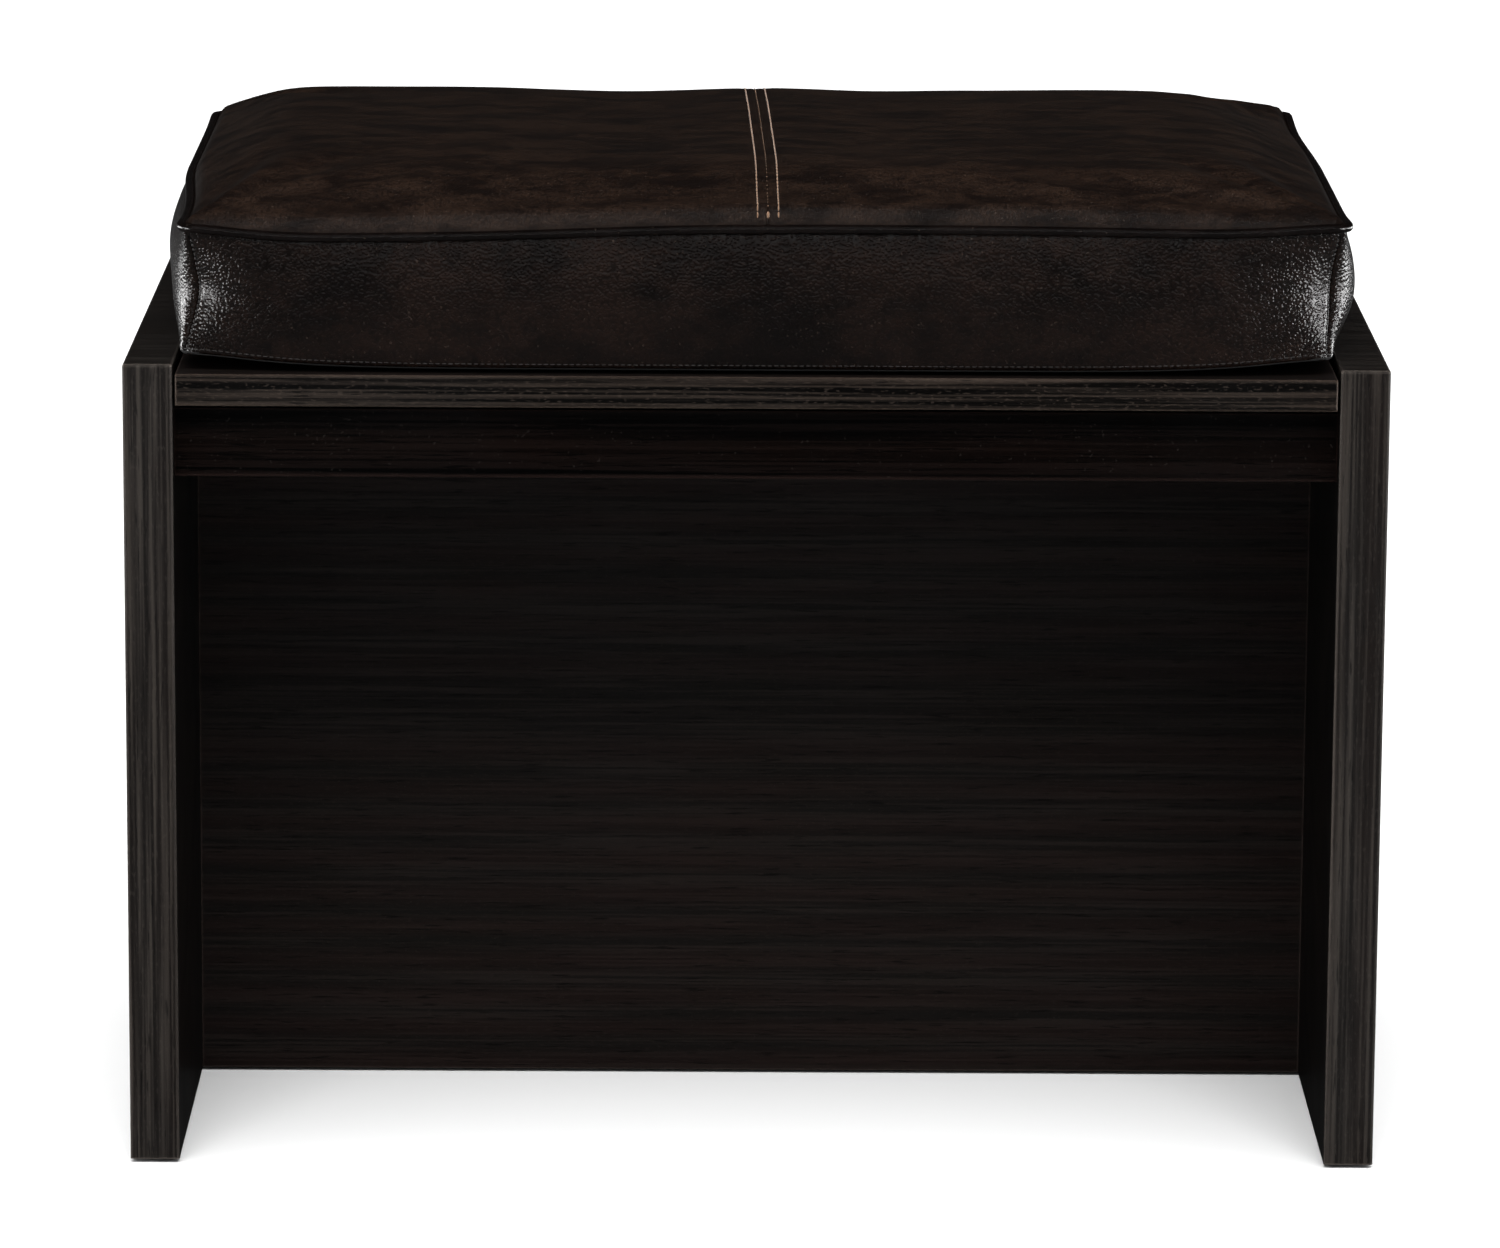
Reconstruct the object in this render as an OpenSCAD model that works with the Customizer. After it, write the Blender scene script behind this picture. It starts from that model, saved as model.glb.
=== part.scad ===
// Storage bench. Two side panels carry a front rail, a set-back front panel and a storage bin,
// and a cushioned seat board lifts as the lid on two friction hinges at the rear.
// Origin: centre of the footprint on the floor. +Z is up and the front faces -Y. Millimetres.

/* [Overall] */
// Width over the two side panels
bench_w = 635; // [480:1:900]
// Depth, from the front edge to the rear edge of the side panels
bench_d = 400; // [330:1:520]
// Height of the side panels, without the glides
side_h = 412; // [330:1:520]

/* [Boards] */
// Thickness of the side panels
side_t = 25; // [16:0.5:32]
// Thickness of the seat board and of every board between the sides
board_t = 16; // [15:0.5:19]
// Thickness of the edge bands on the sides and the seat board
band_t = 1.5; // [0.8:0.1:2]
// Radius of the arrises on the edge bands
arris_r = 1.2; // [0.4:0.1:1.6]

/* [Front] */
// How far the front rail stands back from the front plane
rail_setback = 13; // [5:1:25]
// Height of the front rail, with its edge band
rail_h = 35; // [32:0.5:60]
// Thickness of the edge band under the front rail
rail_band_t = 1; // [0.5:0.1:2]
// How far the front panel stands back from the front plane
panel_setback = 179; // [120:1:200]

/* [Storage bin] */
// Height of the gap under the bottom panel
bottom_gap = 18; // [5:1:60]

/* [Lid] */
// How far the seat board's top lies below the side panels' tops
seat_drop = 5; // [0:0.5:12]
// Clearance between the seat board and each side panel
lid_side_gap = 1.5; // [1:0.1:3]
// Radius of the lid bumpers
bumper_r = 5; // [4:0.5:6]
// Distance from the side panels to the lid bumpers
bumper_inset = 40; // [20:1:80]

/* [Hinges] */
// Distance from each side panel to the middle of its hinge
hinge_inset = 100; // [80:1:140]
// Length of a hinge along its pin
hinge_len = 76; // [60:1:100]
// Outer radius of a hinge knuckle
knuckle_r = 6; // [5:0.1:8]
// Radius of a hinge pin
pin_r = 3; // [2.5:0.1:3.2]
// Wall of the friction bushes
bush_wall = 1.2; // [0.8:0.1:1.3]
// Thickness of a hinge leaf
leaf_t = 1.5; // [1:0.1:2]
// Height of the base leaf's flange down the back panel
flange_h = 32; // [24:1:50]
// Length of the lid leaf, forward from the pin's axis
lid_leaf_l = 46; // [42:1:70]

/* [Joinery] */
// Distance from a board's edges to its cam locks
cam_inset = 45; // [30:1:46]
// Distance from a board's end to the centre of a cam lock
cam_back = 24; // [20:1:34]
// Radius of a cam lock
cam_r = 7.5; // [6:0.1:7.5]
// Depth of a cam lock
cam_h = 12; // [11:0.1:13]
// Radius of the wooden dowels
dowel_r = 4; // [3:0.1:4]
// Length of the wooden dowels
dowel_len = 30; // [25:1:35]

/* [Glides] */
// Radius of a floor glide
glide_r = 9; // [6:0.5:10]
// Height of a floor glide
glide_h = 2; // [1:0.1:4]
// Distance from the side panels' front and rear edges to the glides
glide_inset = 35; // [25:1:80]

/* [Cushion] */
// Height of the cushion's bands, from its base to the piping
cushion_h = 71; // [50:1:100]
// Rise of the crown above the piping
crown_h = 25; // [10:1:40]
// Distance from the bench's front and rear planes to the cushion's seams
cushion_setback = 7; // [5:0.5:20]
// Clearance between the cushion's base and each side panel
cushion_side_gap = 3; // [2:0.5:10]
// How far the side bands bulge past their seams
side_bulge = 9; // [4:0.5:12]
// How far the front and rear bands bulge past their seams
front_bulge = 4; // [2:0.5:5]
// Thickness of the cover
cover_t = 1.2; // [0.8:0.1:2]
// Radius of the piping
piping_r = 2.4; // [1.5:0.1:3]
// Distance between the two rows of stitches along the centre seam
stitch_rows = 11; // [6:0.5:20]
// Length of the zip in the rear band
zip_len = 400; // [200:5:420]
// Width of the zip
zip_w = 24; // [16:1:30]
// Width of the hook and loop strips
strip_w = 25; // [15:1:50]
// Length of the hook and loop strips
strip_len = 420; // [100:5:430]

/* [Hidden] */
$fn = 64;

WOOD = "#2a201c";
LEATHER = "#33211a";
STEEL = "silver";

LEFT = -1;
RIGHT = 1;
EXTRA = 10; // how far a cutting shape runs past what it cuts

// The side panels' core and outline
half_w = bench_w / 2;
half_d = bench_d / 2;
inner_hw = half_w - side_t;
side_top = glide_h + side_h;

// Width and heights of the lid, and heights of what it closes on
lid_hw = inner_hw - lid_side_gap;
seat_top = side_top - seat_drop;
seat_bottom = seat_top - board_t;
leaf_gap = 0.2;
lid_gap = 2 * leaf_t + leaf_gap;
rim_z = seat_bottom - lid_gap;

// The hinges' axis, with the back panel and the seat board just clear of the knuckles
knuckle_gap = 0.4;
axis_y = half_d - knuckle_r;
axis_z = seat_bottom - leaf_t - leaf_gap / 2;
rear_face = axis_y - knuckle_r - knuckle_gap;
hinge_x = inner_hw - hinge_inset;
knuckles = 5;
knuckle_slit = 0.3;
knuckle_l = (hinge_len - (knuckles - 1) * knuckle_slit) / knuckles;
bush_clearance = 0.05;
bush_r = pin_r + bush_clearance + bush_wall;
pin_head_h = 1.5;

// The boards between the sides, each from its lowest to its highest y and z
rail_y = [rail_setback - half_d, rail_setback - half_d + board_t];
rail_z = [rim_z - rail_h, rim_z];
panel_y = [panel_setback - half_d, panel_setback - half_d + board_t];
panel_z = [glide_h, rail_z[0]];
ledge_y = [rail_y[1], panel_y[1]];
ledge_z = [rail_z[0], rail_z[0] + board_t];
back_y = [rear_face - board_t, rear_face];
back_z = [glide_h, rim_z];
bottom_y = [panel_y[1], back_y[0]];
bottom_z = [glide_h + bottom_gap, glide_h + bottom_gap + board_t];

// Joinery: each joint is [y, z, rotation], and the rotation turns +Z to the face the cam is set in
TO_REAR = [-90, 0, 0];
TO_FRONT = [90, 0, 0];
TO_UNDER = [180, 0, 0];
bolt_r = 2.5;
bolt_thread_l = 11;
bolt_head_r = 3.2;
bolt_neck_r = 1.75;
bolt_bore_r = 4;
fit = 0.1; // clearance of a cam and of a dowel's end in its bore
cam_gap = 1; // least gap from a cam or its cover to the next piece
rail_cam_drop = cam_r + 1.5;
cover_r = cam_r + 1.5;
cover_cap_t = 1;
dowel_side_l = dowel_len / 3;
dowel_row_x = inner_hw - 90;

rail_cams = [[mid(rail_y), rail_z[1] - rail_cam_drop, TO_REAR]];
panel_cams = upright_cams(panel_y, panel_z, TO_REAR);
back_cams = upright_cams(back_y, back_z, TO_FRONT);
ledge_cams = flat_cams(ledge_y, ledge_z, TO_UNDER);
bottom_cams = flat_cams(bottom_y, bottom_z, TO_UNDER);
all_cams = concat(rail_cams, panel_cams, back_cams, ledge_cams, bottom_cams);
covered_cams = concat(rail_cams, panel_cams, back_cams);

rail_dowels = [[mid(rail_y), mid(ledge_z)]];
panel_dowels = [[mid(panel_y), mid(panel_z)]];
back_dowels = [[mid(back_y), mid(back_z)]];
ledge_dowels = [[mid(ledge_y), mid(ledge_z)]];
bottom_dowels = [[mid(bottom_y), mid(bottom_z)]];
all_dowels = concat(rail_dowels, panel_dowels, back_dowels, ledge_dowels, bottom_dowels);

// Screws
screw_r = 1.75;
screw_head_r = 3.5;
screw_head_h = 1.8;
screw_len = 13;
screw_hole_r = 2.1;
screw_pitch = hinge_len / 3;
flange_screw_z = rim_z - flange_h + 9;
lid_screw_y = axis_y - lid_leaf_l + 8;
nail_r = 1.2;
nail_len = 14;

// The cushion's seam lines and crown
hook_t = 1;
loop_t = 1;
cushion_z0 = seat_top + hook_t + loop_t;
cushion_z1 = cushion_z0 + cushion_h;
seam_hx = inner_hw - cushion_side_gap;
seam_hy = half_d - cushion_setback;
band_end_y = seam_hy - 2 * cover_t; // the front and rear bands wrap the corners, and the side bands end here
piping_bend = 5;
thread_r = 0.4;
crown_ry = arc_radius(seam_hy, crown_h);
zip_z = cushion_z0 + cushion_h / 2;
strip_y = seam_hy * 0.55;

function mid(span) = (span[0] + span[1]) / 2;
// An upright board's cams: the lower one's cover clears the bottom panel
function low_cam_z(z) = max(z[0] + cam_inset, bottom_z[1] + cover_r + cam_gap);
function upright_cams(y, z, face) = [for (at = [low_cam_z(z), z[1] - cam_inset]) [mid(y), at, face]];
// A flat board's cams: both clear the dowel between them
function flat_inset(y) = min(cam_inset, (y[1] - y[0]) / 2 - cam_r - dowel_r - cam_gap);
function flat_cams(y, z, face) = [for (at = [y[0] + flat_inset(y), y[1] - flat_inset(y)]) [at, mid(z), face]];
function arc_radius(half_chord, rise) = (half_chord * half_chord + rise * rise) / (2 * rise);

// ---------- Shared shapes ----------

module span_box(x, y, z) {
    translate([x[0], y[0], z[0]]) cube([x[1] - x[0], y[1] - y[0], z[1] - z[0]]);
}

module both_sides() {
    children();
    mirror([1, 0, 0]) children();
}

module on_side(side) {
    if (side == RIGHT) children();
    else mirror([1, 0, 0]) children();
}

// A rectangle with all four corners rounded
module round_rect(u, v, r) {
    translate([u[0] + r, v[0]]) square([u[1] - u[0] - 2 * r, v[1] - v[0]]);
    translate([u[0], v[0] + r]) square([u[1] - u[0], v[1] - v[0] - 2 * r]);
    for (cu = [u[0] + r, u[1] - r], cv = [v[0] + r, v[1] - r]) translate([cu, cv]) circle(r);
}

// Extrudes a drawing made in (x, z) along Y
module along_y(y) {
    translate([0, y[1], 0]) rotate([90, 0, 0]) linear_extrude(y[1] - y[0]) children();
}

// Extrudes a drawing made in (y, z) along X
module along_x(x) {
    translate([x[0], 0, 0]) rotate([90, 0, 90]) linear_extrude(x[1] - x[0]) children();
}

// ---------- Joinery ----------

module at_joints(joints) {
    both_sides() for (joint = joints) translate([inner_hw, joint[0], joint[1]]) rotate(joint[2]) children();
}

module at_dowels(dowels) {
    both_sides() for (dowel = dowels) translate([inner_hw, dowel[0], dowel[1]]) rotate([0, 90, 0]) children();
}

// The bores in a board for its cam locks, their bolts and its end dowels
module end_bores(cams, dowels) {
    at_joints(cams) {
        translate([-cam_back, 0, board_t / 2 - cam_h - fit]) cylinder(r = cam_r + fit, h = cam_h + EXTRA);
        translate([-cam_back - bolt_head_r - fit, 0, 0]) rotate([0, 90, 0])
            cylinder(r = bolt_bore_r, h = cam_back + bolt_head_r + fit + EXTRA);
    }
    at_dowels(dowels) translate([0, 0, dowel_side_l - dowel_len - fit])
        cylinder(r = dowel_r, h = dowel_len + EXTRA);
}

// The bores in the right side panel's inner face
module side_bores() {
    for (joint = all_cams) translate([inner_hw, joint[0], joint[1]]) rotate([0, 90, 0])
        translate([0, 0, -EXTRA]) cylinder(r = bolt_r, h = EXTRA + bolt_thread_l + fit);
    for (dowel = all_dowels) translate([inner_hw, dowel[0], dowel[1]]) rotate([0, 90, 0])
        translate([0, 0, -EXTRA]) cylinder(r = dowel_r, h = EXTRA + dowel_side_l + fit);
}

// Dowels from the rail's rear face into the ledge, or their bores when grown
module rail_row(grow) {
    for (x = [-dowel_row_x, 0, dowel_row_x])
        translate([x, rail_y[1] - dowel_side_l - grow, mid(ledge_z)]) rotate([-90, 0, 0])
            cylinder(r = dowel_r, h = dowel_len + 2 * grow);
}

// Dowels from the ledge down into the front panel's top edge, or their bores when grown
module panel_row(grow) {
    for (x = [-dowel_row_x, 0, dowel_row_x])
        translate([x, mid(panel_y), ledge_z[0] + dowel_side_l - dowel_len - grow])
            cylinder(r = dowel_r, h = dowel_len + 2 * grow);
}

module dowels() {
    color("burlywood") {
        at_dowels(all_dowels) translate([0, 0, dowel_side_l - dowel_len])
            cylinder(r = dowel_r, h = dowel_len);
        rail_row(0);
        panel_row(0);
    }
}

// The bolt is threaded into the side panel, and its ball end sits in the cam
module cam_bolt() {
    collar_h = 1.2;
    shank_r = 3;
    shank_l = cam_back - cam_r - 4;
    rotate([0, 90, 0]) {
        cylinder(r = bolt_r, h = bolt_thread_l);
        translate([0, 0, -collar_h]) cylinder(r = bolt_bore_r - fit, h = collar_h);
        translate([0, 0, -shank_l]) cylinder(r = shank_r, h = shank_l - collar_h);
        translate([0, 0, -cam_back]) cylinder(r = bolt_neck_r, h = cam_back - 1);
        translate([0, 0, -cam_back]) sphere(bolt_head_r);
    }
}

module cam_bolts() {
    color(STEEL) at_joints(all_cams) cam_bolt();
}

// The cam is open towards the board's end, with a cross slot in its face
module cam_lock() {
    slot_w = 1.6;
    slot_depth = 2.5;
    translate([-cam_back, 0, 0]) difference() {
        translate([0, 0, board_t / 2 - cam_h]) cylinder(r = cam_r, h = cam_h);
        sphere(bolt_head_r + fit);
        rotate([0, 90, 0]) cylinder(r = bolt_head_r + fit, h = cam_r + EXTRA);
        for (turn = [0, 90]) rotate(turn)
            translate([0, 0, board_t / 2]) cube([1.2 * cam_r, slot_w, 2 * slot_depth], center = true);
    }
}

module cam_locks() {
    color(STEEL) at_joints(all_cams) cam_lock();
}

// A thin cap lies over each cam that shows inside the bin or behind the rail
module cam_covers() {
    color(WOOD) at_joints(covered_cams) translate([-cam_back, 0, board_t / 2])
        cylinder(r = cover_r, h = cover_cap_t);
}

// Room round the covers in a board that lies close to them
module cover_reliefs(cams) {
    at_joints(cams) translate([-cam_back, 0, board_t / 2 - EXTRA])
        cylinder(r = cover_r + fit, h = cover_cap_t + fit + EXTRA);
}

// A screw with its head above z = 0 and its shank below
module screw(under_head) {
    tip_l = 3;
    tip_r = 0.2;
    head_taper = 0.8;
    recess = [3.6, 0.9, 2];
    difference() {
        union() {
            cylinder(r1 = screw_head_r, r2 = screw_head_r - head_taper, h = screw_head_h);
            translate([0, 0, -under_head]) cylinder(r = screw_r, h = under_head + 0.1);
            translate([0, 0, -under_head - tip_l]) cylinder(r1 = tip_r, r2 = screw_r, h = tip_l);
        }
        for (turn = [0, 90]) rotate(turn)
            translate([0, 0, screw_head_h]) cube(recess, center = true);
    }
}

module screw_bore() {
    translate([0, 0, -screw_len]) cylinder(r = screw_r, h = screw_len + EXTRA);
}

// ---------- Side panels ----------

// The whole right side, edge bands and all, with every exposed arris rounded
module side_outline() {
    x = [inner_hw, half_w];
    y = [-half_d, half_d];
    z = [glide_h, side_top];
    past = [glide_h - EXTRA, side_top];
    intersection() {
        translate([0, 0, z[0]]) linear_extrude(side_h) round_rect(x, y, arris_r);
        along_y(y) round_rect(x, past, arris_r);
        along_x(x) round_rect(y, past, arris_r);
    }
}

module side_panel(side) {
    color(WOOD) on_side(side) difference() {
        span_box([inner_hw, half_w], [band_t - half_d, half_d - band_t], [glide_h, side_top - band_t]);
        side_bores();
        at_glides() cylinder(r = nail_r, h = nail_len + glide_h + fit);
    }
}

module front_edge_band(side) {
    color(WOOD) on_side(side) intersection() {
        side_outline();
        span_box([0, bench_w], [-bench_d, band_t - half_d], [0, 2 * side_h]);
    }
}

module rear_edge_band(side) {
    color(WOOD) on_side(side) intersection() {
        side_outline();
        span_box([0, bench_w], [half_d - band_t, bench_d], [0, 2 * side_h]);
    }
}

module top_edge_band(side) {
    color(WOOD) on_side(side) intersection() {
        side_outline();
        span_box([0, bench_w], [band_t - half_d, half_d - band_t], [side_top - band_t, 2 * side_h]);
    }
}

// The glides' places under the right side panel
module at_glides() {
    for (end = [-1, 1]) translate([inner_hw + side_t / 2, end * (half_d - glide_inset), 0]) children();
}

module floor_glides() {
    color("dimgray") both_sides() at_glides() {
        cylinder(r1 = glide_r - 0.6, r2 = glide_r, h = glide_h);
        cylinder(r = nail_r, h = glide_h + nail_len);
    }
}

// ---------- Boards between the sides ----------

module front_rail() {
    color(WOOD) difference() {
        span_box([-inner_hw, inner_hw], rail_y, [rail_z[0] + rail_band_t, rail_z[1]]);
        end_bores(rail_cams, rail_dowels);
        rail_row(fit);
    }
}

module front_rail_edge_band() {
    r = min(arris_r, 0.8 * rail_band_t);
    color(WOOD) intersection() {
        along_x([-inner_hw, inner_hw]) round_rect(rail_y, [rail_z[0], rail_z[0] + EXTRA], r);
        span_box([-inner_hw, inner_hw], rail_y, [rail_z[0], rail_z[0] + rail_band_t]);
    }
}

module front_panel() {
    color(WOOD) difference() {
        span_box([-inner_hw, inner_hw], panel_y, panel_z);
        end_bores(panel_cams, panel_dowels);
        panel_row(fit);
    }
}

module ledge_shelf() {
    color(WOOD) difference() {
        span_box([-inner_hw, inner_hw], ledge_y, ledge_z);
        end_bores(ledge_cams, ledge_dowels);
        rail_row(fit);
        panel_row(fit);
        cover_reliefs(rail_cams);
    }
}

module bottom_panel() {
    color(WOOD) difference() {
        span_box([-inner_hw, inner_hw], bottom_y, bottom_z);
        end_bores(bottom_cams, bottom_dowels);
    }
}

module back_panel() {
    color(WOOD) difference() {
        span_box([-inner_hw, inner_hw], back_y, back_z);
        end_bores(back_cams, back_dowels);
        at_base_screws() screw_bore();
    }
}

// ---------- Hinges ----------

// Every other knuckle along a hinge, starting at the one given
module at_knuckles(first) {
    for (k = [first : 2 : knuckles - 1])
        translate([k * (knuckle_l + knuckle_slit) - hinge_len / 2, axis_y, axis_z]) children();
}

module rod(r, l) {
    rotate([0, 90, 0]) cylinder(r = r, h = l);
}

// A leaf: its plates, joined to its own knuckles by tabs, with a bore along the axis
module leaf(first, bore_r, tab_z) {
    difference() {
        union() {
            children();
            at_knuckles(first) {
                rod(knuckle_r, knuckle_l);
                translate([0, -knuckle_r - knuckle_gap - 1, tab_z])
                    cube([knuckle_l, knuckle_r + knuckle_gap + 1, leaf_t]);
            }
        }
        translate([-hinge_len, axis_y, axis_z]) rod(bore_r, 2 * hinge_len);
    }
}

module at_base_screws() {
    for (side = [LEFT, RIGHT], step = [-1, 0, 1])
        translate([side * hinge_x + step * screw_pitch, back_y[0] - leaf_t, flange_screw_z])
            rotate(TO_FRONT) children();
}

module at_lid_screws() {
    for (side = [LEFT, RIGHT], step = [-1, 0, 1])
        translate([side * hinge_x + step * screw_pitch, lid_screw_y, seat_bottom - leaf_t])
            rotate(TO_UNDER) children();
}

module leaf_hole() {
    translate([0, 0, -EXTRA]) cylinder(r = screw_hole_r, h = 2 * EXTRA);
}

// The base leaf lies over the back panel's top edge and turns down its inner face
module hinge_base_leaf(side) {
    x = [-hinge_len / 2, hinge_len / 2];
    color(STEEL) difference() {
        translate([side * hinge_x, 0, 0]) leaf(0, bush_r, -leaf_gap / 2 - leaf_t) {
            span_box(x, [back_y[0] - leaf_t, rear_face], [rim_z, rim_z + leaf_t]);
            span_box(x, [back_y[0] - leaf_t, back_y[0]], [rim_z - flange_h, rim_z + leaf_t]);
        }
        at_base_screws() leaf_hole();
    }
}

module hinge_lid_leaf(side) {
    x = [-hinge_len / 2, hinge_len / 2];
    color(STEEL) difference() {
        translate([side * hinge_x, 0, 0]) leaf(1, pin_r, leaf_gap / 2)
            span_box(x, [axis_y - lid_leaf_l, rear_face], [seat_bottom - leaf_t, seat_bottom]);
        at_lid_screws() leaf_hole();
    }
}

// The bushes are held in the base leaf's knuckles and grip the pin
module hinge_bushes(side) {
    color("ivory") translate([side * hinge_x, 0, 0]) at_knuckles(0) difference() {
        rod(bush_r, knuckle_l);
        translate([-EXTRA, 0, 0]) rod(pin_r + bush_clearance, knuckle_l + 2 * EXTRA);
    }
}

// The pin is pressed into the lid leaf's knuckles, with a rivet head past each end
module hinge_pin(side) {
    color(STEEL) translate([side * hinge_x - hinge_len / 2, axis_y, axis_z]) {
        translate([-leaf_gap, 0, 0]) rod(pin_r, hinge_len + 2 * leaf_gap);
        translate([-pin_head_h - leaf_gap, 0, 0]) rod(pin_r + 1, pin_head_h);
        translate([hinge_len + leaf_gap, 0, 0]) rod(pin_r + 1, pin_head_h);
    }
}

module hinge_base_screws() {
    color(STEEL) at_base_screws() screw(screw_len - 3);
}

module hinge_lid_screws() {
    color(STEEL) at_lid_screws() screw(screw_len - 3);
}

// ---------- Lid ----------

module seat_board() {
    color(WOOD) difference() {
        span_box([-lid_hw, lid_hw], [band_t - half_d, rear_face], [seat_bottom, seat_top]);
        at_lid_screws() screw_bore();
    }
}

module seat_front_edge_band() {
    color(WOOD) intersection() {
        along_x([-lid_hw, lid_hw]) round_rect([-half_d, EXTRA - half_d], [seat_bottom, seat_top], arris_r);
        span_box([-lid_hw, lid_hw], [-half_d, band_t - half_d], [seat_bottom, seat_top]);
    }
}

// Rubber dots under the board meet the rail's top edge
module lid_bumpers() {
    color("dimgray") both_sides() translate([inner_hw - bumper_inset, mid(rail_y), rim_z])
        cylinder(r1 = bumper_r - 0.6, r2 = bumper_r, h = lid_gap);
}

module strips(z) {
    for (y = [-strip_y, strip_y])
        span_box([-strip_len / 2, strip_len / 2], [y - strip_w / 2, y + strip_w / 2], z);
}

module hook_strips() {
    color("black") strips([seat_top, seat_top + hook_t]);
}

module loop_strips() {
    color("black") strips([seat_top + hook_t, cushion_z0]);
}

// ---------- Cushion ----------

// Everything inwards of one bulging side, whose arc is centred on the drawing's origin
module inwards_of_side(side_r) {
    circle(side_r, $fn = 128);
    translate([-2 * bench_w, -side_top]) square([2 * bench_w, 2 * side_top]);
}

// The cushion's outline across one direction: a flat base, bulging sides and a crowned top.
// The inset moves the sides and the top inwards.
module cushion_profile(seam_h, bulge, inset, base_z) {
    side_r = arc_radius(cushion_h / 2, bulge);
    side_c = seam_h + bulge - side_r;
    top_r = arc_radius(seam_h, crown_h);
    mid_z = cushion_z0 + cushion_h / 2;
    intersection() {
        translate([side_c, mid_z]) inwards_of_side(side_r - inset);
        mirror([1, 0]) translate([side_c, mid_z]) inwards_of_side(side_r - inset);
        translate([-bench_w, base_z]) square([2 * bench_w, 2 * side_top]);
        translate([0, cushion_z1 + crown_h - top_r]) circle(top_r - inset, $fn = 256);
    }
}

module cushion_body(inset, base_z) {
    intersection() {
        along_y([-half_d, half_d]) cushion_profile(seam_hx, side_bulge, inset, base_z);
        along_x([-half_w, half_w]) cushion_profile(seam_hy, front_bulge, inset, base_z);
    }
}

module piping_ring() {
    straight = [seam_hx - piping_bend, seam_hy - piping_bend];
    translate([0, 0, cushion_z1]) {
        for (end = [-1, 1]) {
            translate([-straight[0], end * seam_hy, 0]) rod(piping_r, 2 * straight[0]);
            translate([end * seam_hx, -straight[1], 0]) rotate(90) rod(piping_r, 2 * straight[1]);
        }
        for (quarter = [0 : 3]) {
            x = (quarter == 0 || quarter == 3) ? straight[0] : -straight[0];
            y = quarter < 2 ? straight[1] : -straight[1];
            translate([x, y, 0]) rotate(90 * quarter) rotate_extrude(angle = 90)
                translate([piping_bend, 0]) circle(piping_r);
        }
    }
}

// The cover without its base, cut by the piping into the top and the bands
module cover() {
    difference() {
        cushion_body(0, cushion_z0);
        cushion_body(cover_t, cushion_z0 - EXTRA);
        piping_ring();
    }
}

// Holds the top of the cover, with its edges inside the piping
module top_space() {
    inwards = 0.35 * piping_r;
    x = seam_hx - inwards;
    y = seam_hy - inwards;
    span_box([-x, x], [-y, y], [cushion_z1 - 0.8 * piping_r, 2 * side_top]);
}

module base_space() {
    span_box([-bench_w, bench_w], [-bench_d, bench_d], [0, cushion_z0 + cover_t]);
}

module band_cover() {
    difference() {
        cover();
        top_space();
        base_space();
    }
}

module cushion_foam() {
    color("khaki") difference() {
        cushion_body(cover_t, cushion_z0 + cover_t);
        piping_ring();
    }
}

module cushion_base() {
    color(LEATHER) intersection() {
        cushion_body(0, cushion_z0);
        base_space();
    }
}

module cushion_top(side) {
    color(LEATHER) intersection() {
        cover();
        top_space();
        on_side(side) span_box([0, bench_w], [-bench_d, bench_d], [0, 2 * side_top]);
    }
}

module cushion_front_band() {
    color(LEATHER) intersection() {
        band_cover();
        span_box([-bench_w, bench_w], [-bench_d, -band_end_y], [0, 2 * side_top]);
    }
}

module zip_space() {
    span_box([-zip_len / 2, zip_len / 2], [0, bench_d], [zip_z - zip_w / 2, zip_z + zip_w / 2]);
}

module cushion_rear_band() {
    color(LEATHER) difference() {
        intersection() {
            band_cover();
            span_box([-bench_w, bench_w], [band_end_y, bench_d], [0, 2 * side_top]);
        }
        zip_space();
    }
}

module cushion_side_band(side) {
    color(LEATHER) on_side(side) intersection() {
        band_cover();
        span_box([0, bench_w], [-band_end_y, band_end_y], [0, 2 * side_top]);
    }
}

module cushion_piping() {
    color(LEATHER) piping_ring();
}

// Two rows of thread lie on the crown, one each side of the centre seam
module seam_thread() {
    sweep = 2 * asin((seam_hy - piping_r - 3) / crown_ry);
    color("tan") for (row = [-1, 1])
        translate([row * stitch_rows / 2, 0, cushion_z1 + crown_h - crown_ry])
            rotate([90, 0, 90]) rotate(90 - sweep / 2) rotate_extrude(angle = sweep, $fn = 256)
                translate([crown_ry + thread_r, 0]) circle(thread_r, $fn = 16);
}

module cushion_zip() {
    color("black") intersection() {
        band_cover();
        zip_space();
    }
}

// The slider is parked at the zip's closed end, with its pull hanging down
module zip_slider() {
    body = [9, 3, 7];
    pull = [6, 1.2, 18];
    face_y = seam_hy + front_bulge;
    color(STEEL) translate([zip_len / 2 - 2 * body[0], face_y, zip_z]) {
        translate([-body[0] / 2, 0, -body[2] / 2]) cube(body);
        translate([-pull[0] / 2, body[1] - pull[1], -pull[2]]) cube(pull);
    }
}

side_panel(LEFT);  // left_side_panel
side_panel(RIGHT);  // right_side_panel
front_edge_band(LEFT);  // left_front_edge_band
front_edge_band(RIGHT);  // right_front_edge_band
top_edge_band(LEFT);  // left_top_edge_band
top_edge_band(RIGHT);  // right_top_edge_band
rear_edge_band(LEFT);  // left_rear_edge_band
rear_edge_band(RIGHT);  // right_rear_edge_band
front_rail();
front_rail_edge_band();
front_panel();
ledge_shelf();
bottom_panel();
back_panel();
cam_bolts();
cam_locks();
cam_covers();
dowels();
floor_glides();
hinge_base_leaf(LEFT);  // left_hinge_base_leaf
hinge_base_leaf(RIGHT);  // right_hinge_base_leaf
hinge_bushes(LEFT);  // left_hinge_bushes
hinge_bushes(RIGHT);  // right_hinge_bushes
hinge_base_screws();
seat_board();
seat_front_edge_band();
hinge_lid_leaf(LEFT);  // left_hinge_lid_leaf
hinge_lid_leaf(RIGHT);  // right_hinge_lid_leaf
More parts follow.
